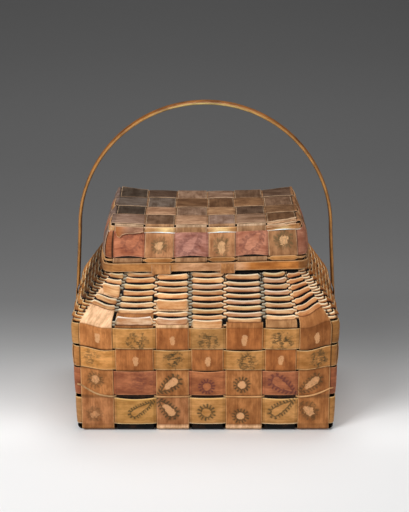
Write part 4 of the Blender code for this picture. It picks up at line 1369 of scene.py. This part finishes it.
def make_torn_ends(materials):
    low, high = LID.columns[0]
    top = LID_TOP - 0.0028
    rows = []
    for share, drop in FLAP_DROPS:
        x = between(low + 0.0006, high - 0.0002, share)
        points = [face_point(LID, FRONT, x, top - drop * step / 5, 0.0026 + 0.0014 * (step / 5) ** 2)
                  for step in range(6)]
        rows.append((points, mixed(*FLAP_TONES, smooth(share / 0.5))))
    loose_piece("lid_torn_flap", rows, materials["lid"], "dark_lid_splint")

    low, high = LID.columns[-1]
    for number, heights in enumerate(FRAYED_STRANDS):
        line = wander(f"strand {number}", 0.05)
        rows = []
        for step in range(STRAND_STEPS + 1):
            share = step / STRAND_STEPS
            swell = math.sin(math.pi * share)
            x = between(low - 0.0012, high - 0.0002, share)
            level = LID_TOP + between(*heights, share ** 1.3) + 0.0005 * line(x)
            points = []
            for side in (-1, -1 / 3, 1 / 3, 1):
                height = level + (0.0007 + 0.0003 * swell) * side
                x, y, z = face_point(LID, FRONT, x, min(height, LID_TOP), 0.0024 + 0.0012 * swell + 0.0003 * number)
                points.append((x, y, z + max(height - LID_TOP, 0)))
            rows.append((points, named("warm" if number % 2 else "peach")))
        loose_piece(f"lid_frayed_strand_{number + 1}", rows, materials["lid"], "yellow_splint")

    front = -LID.half_size(FRONT, LID_TOP) - 0.0016
    rows = []
    for step in range(CURL_STEPS + 1):
        angle = math.radians(between(*CURL_TURN, step / CURL_STEPS))
        reach = between(*CURL_REACH, step / CURL_STEPS)
        x = high + 0.0034 + reach * math.cos(angle)
        z = LID_TOP - 0.0040 + 1.1 * reach * math.sin(angle)
        rows.append(([(x, front + 0.0030 * v, z) for v in range(4)], named("russet")))
    loose_piece("lid_curled_end", rows, materials["lid"], "dark_lid_splint")


def make_lid_weft(node, turn, finish, slot, materials):
    """One of the lid's three wefts: the edge, the red one or the lower one."""
    foot, top = band(node)
    is_edge, is_red = finish == "lid_light", finish == "lid_red"

    def tint_of(position, share):
        if is_red:
            word = LID_RED_TONES[position] if position < 6 else "gold" if position == 19 else "deep"
            return toned(word, f"{node} {position}")
        own = tone(f"{node} {position}")
        if is_edge and position in EDGE_GLARES:
            centre, reach = EDGE_GLARES[position]
            return mixed(own, named("glare"), 0.85 * smooth(1 - abs(share - centre) / reach))
        return own

    def brick_of(position, share, outside):
        """The lowest weft is drawn out to a point at each end of a square, and the others arch."""
        if is_edge or is_red:
            rise = (RED_ARCH if is_red else EDGE_ARCH) * arch(share) if outside else 0.0
            return foot + rise, top, 0.0, 0.0
        middle = (foot + top) / 2
        swell = smooth(min(share, 1 - share) / 0.12) if outside else 0.0
        half = (top - foot) / 2 * (0.45 + 0.75 * swell)
        return middle - half, middle + half, 0.0, 0.0

    def corner_grime_of(face, step):
        """Painted shade: the dark slit beside the left front corner."""
        return 0.95 if is_red and face == LEFT and step > 5 else 0.15

    strip = weft_strip(LID, foot, top, lambda position: (position + turn) % 2 == 1, LID_SWING,
                       5 if is_red else 3, node, tint_of, brick_of, gap_grime=0.15,
                       corner_grime_of=corner_grime_of)
    if is_red:
        strip.marks = {position: (printed(stamp), stretched_ring) for position, stamp in LID_RED_STAMPS.items()}
    strip_object(f"{node}_finish", strip, LID_SPLINT_THICKNESS, materials[finish], LID_BODY, slot, [node])


def make_lid(materials):
    finishes = (("lid_light", "yellow_splint"), ("lid_red", "red_splint"), ("hoop", "yellow_splint"))
    for turn, (node, (finish, slot)) in enumerate(zip(LID_NODES, finishes)):
        make_lid_weft(node, turn, finish, slot, materials)
    courses = [(turn, *band(node)) for turn, node in enumerate(LID_NODES)]

    def ends(face, index):
        # The ends between the rim hoops are painted dark as shade
        return [(between(LID_RIM_TOP, LID_SEAT, step / 3), 0.0, 0.8) for step in range(4)]

    groups = (("lid_front_back_splint", (FRONT, BACK)), ("lid_side_splint", (LEFT, RIGHT)))
    for node, faces, index in splint_numbers(LID, groups):
        def tint_of(square, node=node, index=index, lengthways=along_x(faces[0])):
            face, part = square
            if face == "floor":
                row, column = (part, index) if lengthways else (index, part)
                return toned(LID_TOP_TONES[row][column], f"{node} {square}")
            if square == (FRONT, "bend") and index % 2 == 0:
                return named("peach")
            if square == (FRONT, 1):
                return toned("deep" if index == 5 else "warm", f"{node} {square}")
            if not along_x(face):
                return toned("slaty" if face == LEFT else "brown", f"{node} {square}")
            return tone(f"{node} {square}", 0.06)

        strip = stake_strip(LID, faces, index, courses, ends, 6, node, tint_of)
        if faces[0] == FRONT and index in LID_STAMPS:
            strip.marks[(FRONT, 1)] = (printed(LID_STAMPS[index]), lambda along, across: (across, along))
        if faces[0] == FRONT and index in LID_TAB_SPAN_SHARES:
            add_tab(strip, index)
        strip_object(f"{node}_finish", strip, LID_SPLINT_THICKNESS, materials["lid"], LID_BODY,
                     "dark_lid_splint", [node])


# The handle

def handle_stations():
    """The handle's outer and inner points from the left tongue over the arch to the right one."""
    tongue_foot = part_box("handle")[0].z
    tongue_outer = HANDLE_TONGUE_STANDOFF + HANDLE_TONGUE_THICKNESS
    spring = SHOULDER_FOOT + HANDLE_SPRING_LIFT
    half_span = BODY_FOOT_HALF_WIDTH + WALL_SIDE_LEAN - HANDLE_SPRING_INSET
    seat_x = BODY.half_size(RIGHT, SHOULDER_FOOT) + tongue_outer
    shoulder_top = SHOULDER_FOOT + HANDLE_SHOULDER_LIFT
    full_top = shoulder_top + HANDLE_THINNING_LENGTH
    heights = [tongue_foot]
    for low, high, steps in ((tongue_foot, SHOULDER_FOOT, 8), (SHOULDER_FOOT, shoulder_top, 3),
                             (shoulder_top, full_top, 5), (full_top, spring, 12)):
        heights += [between(low, high, step / steps) for step in range(1, steps + 1)]
    leg = []
    for height in heights[:-1]:
        outer = BODY.half_size(RIGHT, height) + tongue_outer
        if height > SHOULDER_FOOT:
            outer = between(seat_x, half_span, (height - SHOULDER_FOOT) / (spring - SHOULDER_FOOT))
        grown = smooth((height - shoulder_top) / HANDLE_THINNING_LENGTH)
        thick = between(HANDLE_TONGUE_THICKNESS, HANDLE_THICKNESS, grown)
        leg.append(((outer, height), (outer - thick, height)))
    bow = []
    steps = 96
    for step in range(steps + 1):
        angle = math.pi * step / steps
        bow.append([(-(half_span - depth) * math.cos(angle), spring + (HANDLE_ARCH_RISE - depth) * math.sin(angle))
                    for depth in (0, HANDLE_THICKNESS)])
    left = [((-outer[0], outer[1]), (-inner[0], inner[1])) for outer, inner in leg]
    return left + bow + leg[::-1]


# How much the painted sheen along the handle's edge adds to red, green and blue, everywhere and, as a painted
# highlight, at the apex
HANDLE_SHEEN = (1.1, 1.7, 2.8)
HANDLE_APEX_GLOW = (0.6, 4.4, 13.0)


def make_handle(materials):
    """One bent strip with a rounded outer face, thinned to a tongue at each end."""
    rim = HANDLE_RIM_POINTS
    vertices, edge, runs, shades = [], [], [], []
    line = wander("handle", 1.4)
    points = np.array(handle_stations())
    centres = points.mean(1)
    travelled = 0.0
    for number, (outer, inner) in enumerate(points):
        centre = centres[number]
        travelled += float(np.linalg.norm(centre - centres[max(number - 1, 0)]))
        runs.append(travelled)
        for step in range(rim):
            angle = 2 * math.pi * step / rim
            across, depth = math.cos(angle), math.sin(angle)
            y = math.copysign(abs(across) ** 0.72, across) * HANDLE_WIDTH / 2
            d = math.copysign(abs(depth) ** (0.85 if depth > 0 else 0.45), depth)
            point = centre + (outer - inner) / 2 * d * (1 + 0.02 * line(travelled))
            vertices.append((point[0], y * (1 + 0.015 * line(travelled * 1.7)), point[1]))
            edge.append(0.004 * (1 - abs(across)))
            # Painted light in the tint: a sheen band along the handle's edges, a painted highlight at the apex, and
            # darker towards the inner side
            sheen_band = max(1 - abs(depth + 0.05) / 0.42, 0) * smooth(abs(across) * 1.6 - 0.5)
            glare = smooth(1 - abs(centre[0]) / 0.12)
            dark = 1.3 * smooth((-depth - 0.1) / 0.4)
            shades.append([1 + sheen_band * (sheen + glow * glare) - (1 - channel) * dark for channel, sheen, glow
                           in zip(named("umber"), HANDLE_SHEEN, HANDLE_APEX_GLOW)] + [1.0])
    faces, uvs = [], []
    for i, (near, far) in enumerate(zip(runs, runs[1:])):
        for j in range(rim):
            k = (j + 1) % rim
            faces.append((i * rim + j, i * rim + k, (i + 1) * rim + k, (i + 1) * rim + j))
            low, high = j * HANDLE_WIDTH / 7, (j + 1) * HANDLE_WIDTH / 7
            uvs += [(near, low), (near, high), (far, high), (far, low)]
    last = len(vertices) - rim
    faces += [tuple(range(rim - 1, -1, -1)), tuple(range(last, last + rim))]
    uvs += [(0.0, 0.001 * j) for j in range(rim)] * 2
    mesh = new_mesh("handle_finish", vertices, faces)
    write_uv(mesh, "strip", *np.array(uvs).T)
    write_values(mesh, "edge", edge)
    write_values(mesh, "dirt_and_shade", np.full(len(vertices), 0.1))
    write_colours(mesh, "tint", shades)
    dress(mesh, materials["handle"], BASKET, "handle_wood", ["handle"])


# The studio

# Grey of the backdrop by the distance behind the basket's middle, measured on over the sweep: painted light and
# shade, brightest on the floor just in front of the basket as a painted pool of light, and darker up the backdrop
SWEEP_SHADING = ((-0.50, 232), (-0.33, 236), (-0.20, 236), (-0.12, 255), (-0.02, 206), (0.06, 192),
               (0.19, 152), (0.32, 127), (0.43, 114), (0.70, 106), (1.10, 104), (1.50, 112), (2.20, 96),
               (3.20, 74))
SWEEP_HALF_WIDTH, SWEEP_FRONT, SWEEP_BACK, SWEEP_HEIGHT, SWEEP_BEND = 6.0, -3.0, 2.6, 4.0, 1.2
# Soft boxes, all turned to a point above the basket's foot: place, size in metres and power in watts
LIGHTS = {"key_softbox": ((-1.5, -1.6, 2.0), (1.1, 1.1), 50), "fill_softbox": ((1.9, -1.4, 1.3), (1.4, 1.4), 8),
          "top_softbox": ((0.2, 0.5, 2.3), (1.4, 1.0), 24)}
LIGHT_TARGET = (0, 0, 0.2)
WORLD_LIGHT = 0.25


def make_stage():
    """A pale sweep of floor and backdrop, darker towards the top, with the studio's light and shade painted on its
    grey.
    """
    bend_start = SWEEP_BACK - SWEEP_BEND
    profile = [(SWEEP_FRONT, 0.0), (bend_start, 0.0)]
    for step in range(1, 13):
        angle = math.pi / 2 * step / 12
        profile.append((bend_start + SWEEP_BEND * math.sin(angle), SWEEP_BEND * (1 - math.cos(angle))))
    profile.append((SWEEP_BACK, SWEEP_HEIGHT))
    vertices = [(side * SWEEP_HALF_WIDTH, y, z) for y, z in profile for side in (-1, 1)]
    faces = [(2 * i, 2 * i + 1, 2 * i + 3, 2 * i + 2) for i in range(len(profile) - 1)]
    material, graph, shader = new_material("studio_paper")
    _, y, z = graph.split(graph.node("NewGeometry", output="Position"))
    first, last = SWEEP_SHADING[0][0], SWEEP_SHADING[-1][0]
    share = graph.node("MapRange", {0: y + z, 1: first, 2: last, 3: 0.0, 4: 1.0})
    fade = graph.node("ValToRGB", {0: share})
    ramp = fade.socket.node.color_ramp
    ramp.interpolation = "B_SPLINE"
    for number, (distance, level) in enumerate(SWEEP_SHADING):
        position = (distance - first) / (last - first)
        stop = ramp.elements[number] if number < 2 else ramp.elements.new(position)
        stop.position = position
        stop.color = seen(level, level, level)
    graph.wire(fade, shader["Base Color"])
    shader["Roughness"].default_value = 0.9
    mesh = new_mesh("studio_sweep", vertices, faces)
    mesh.materials.append(material)
    linked("studio_sweep", mesh)


def make_lights_and_camera():
    scene = bpy.context.scene
    for name, (place, size, power) in LIGHTS.items():
        data = bpy.data.lights.new(name, "AREA")
        data.shape = "RECTANGLE"
        data.size, data.size_y = size
        data.energy = power
        lamp = linked(name, data)
        lamp.location = place
        lamp.rotation_euler = (Vector(LIGHT_TARGET) - Vector(place)).to_track_quat("-Z", "Y").to_euler()
    scene.world = bpy.data.worlds.new("studio")
    scene.world.use_nodes = True
    background = scene.world.node_tree.nodes["Background"].inputs
    background[0].default_value = (1, 1, 1, 1)
    background[1].default_value = WORLD_LIGHT
    data = bpy.data.cameras.new("camera")
    data.lens = CAMERA_LENS
    data.sensor_width = CAMERA_FILM
    scene.camera = linked("camera", data)
    scene.camera.location = CAMERA_PLACE
    scene.camera.rotation_euler = (math.radians(90 - CAMERA_TILT_DEG), 0, 0)
    scene.view_settings.view_transform = "Standard"


def main():
    materials = make_materials()
    make_wall_wefts(materials)
    for index in range(SHOULDER_WEFT_COUNT):
        make_shoulder_weft(index, materials)
    make_body_stakes(materials)
    make_hoops(materials)
    make_lid(materials)
    make_torn_ends(materials)
    make_handle(materials)
    make_stage()
    make_lights_and_camera()


main()
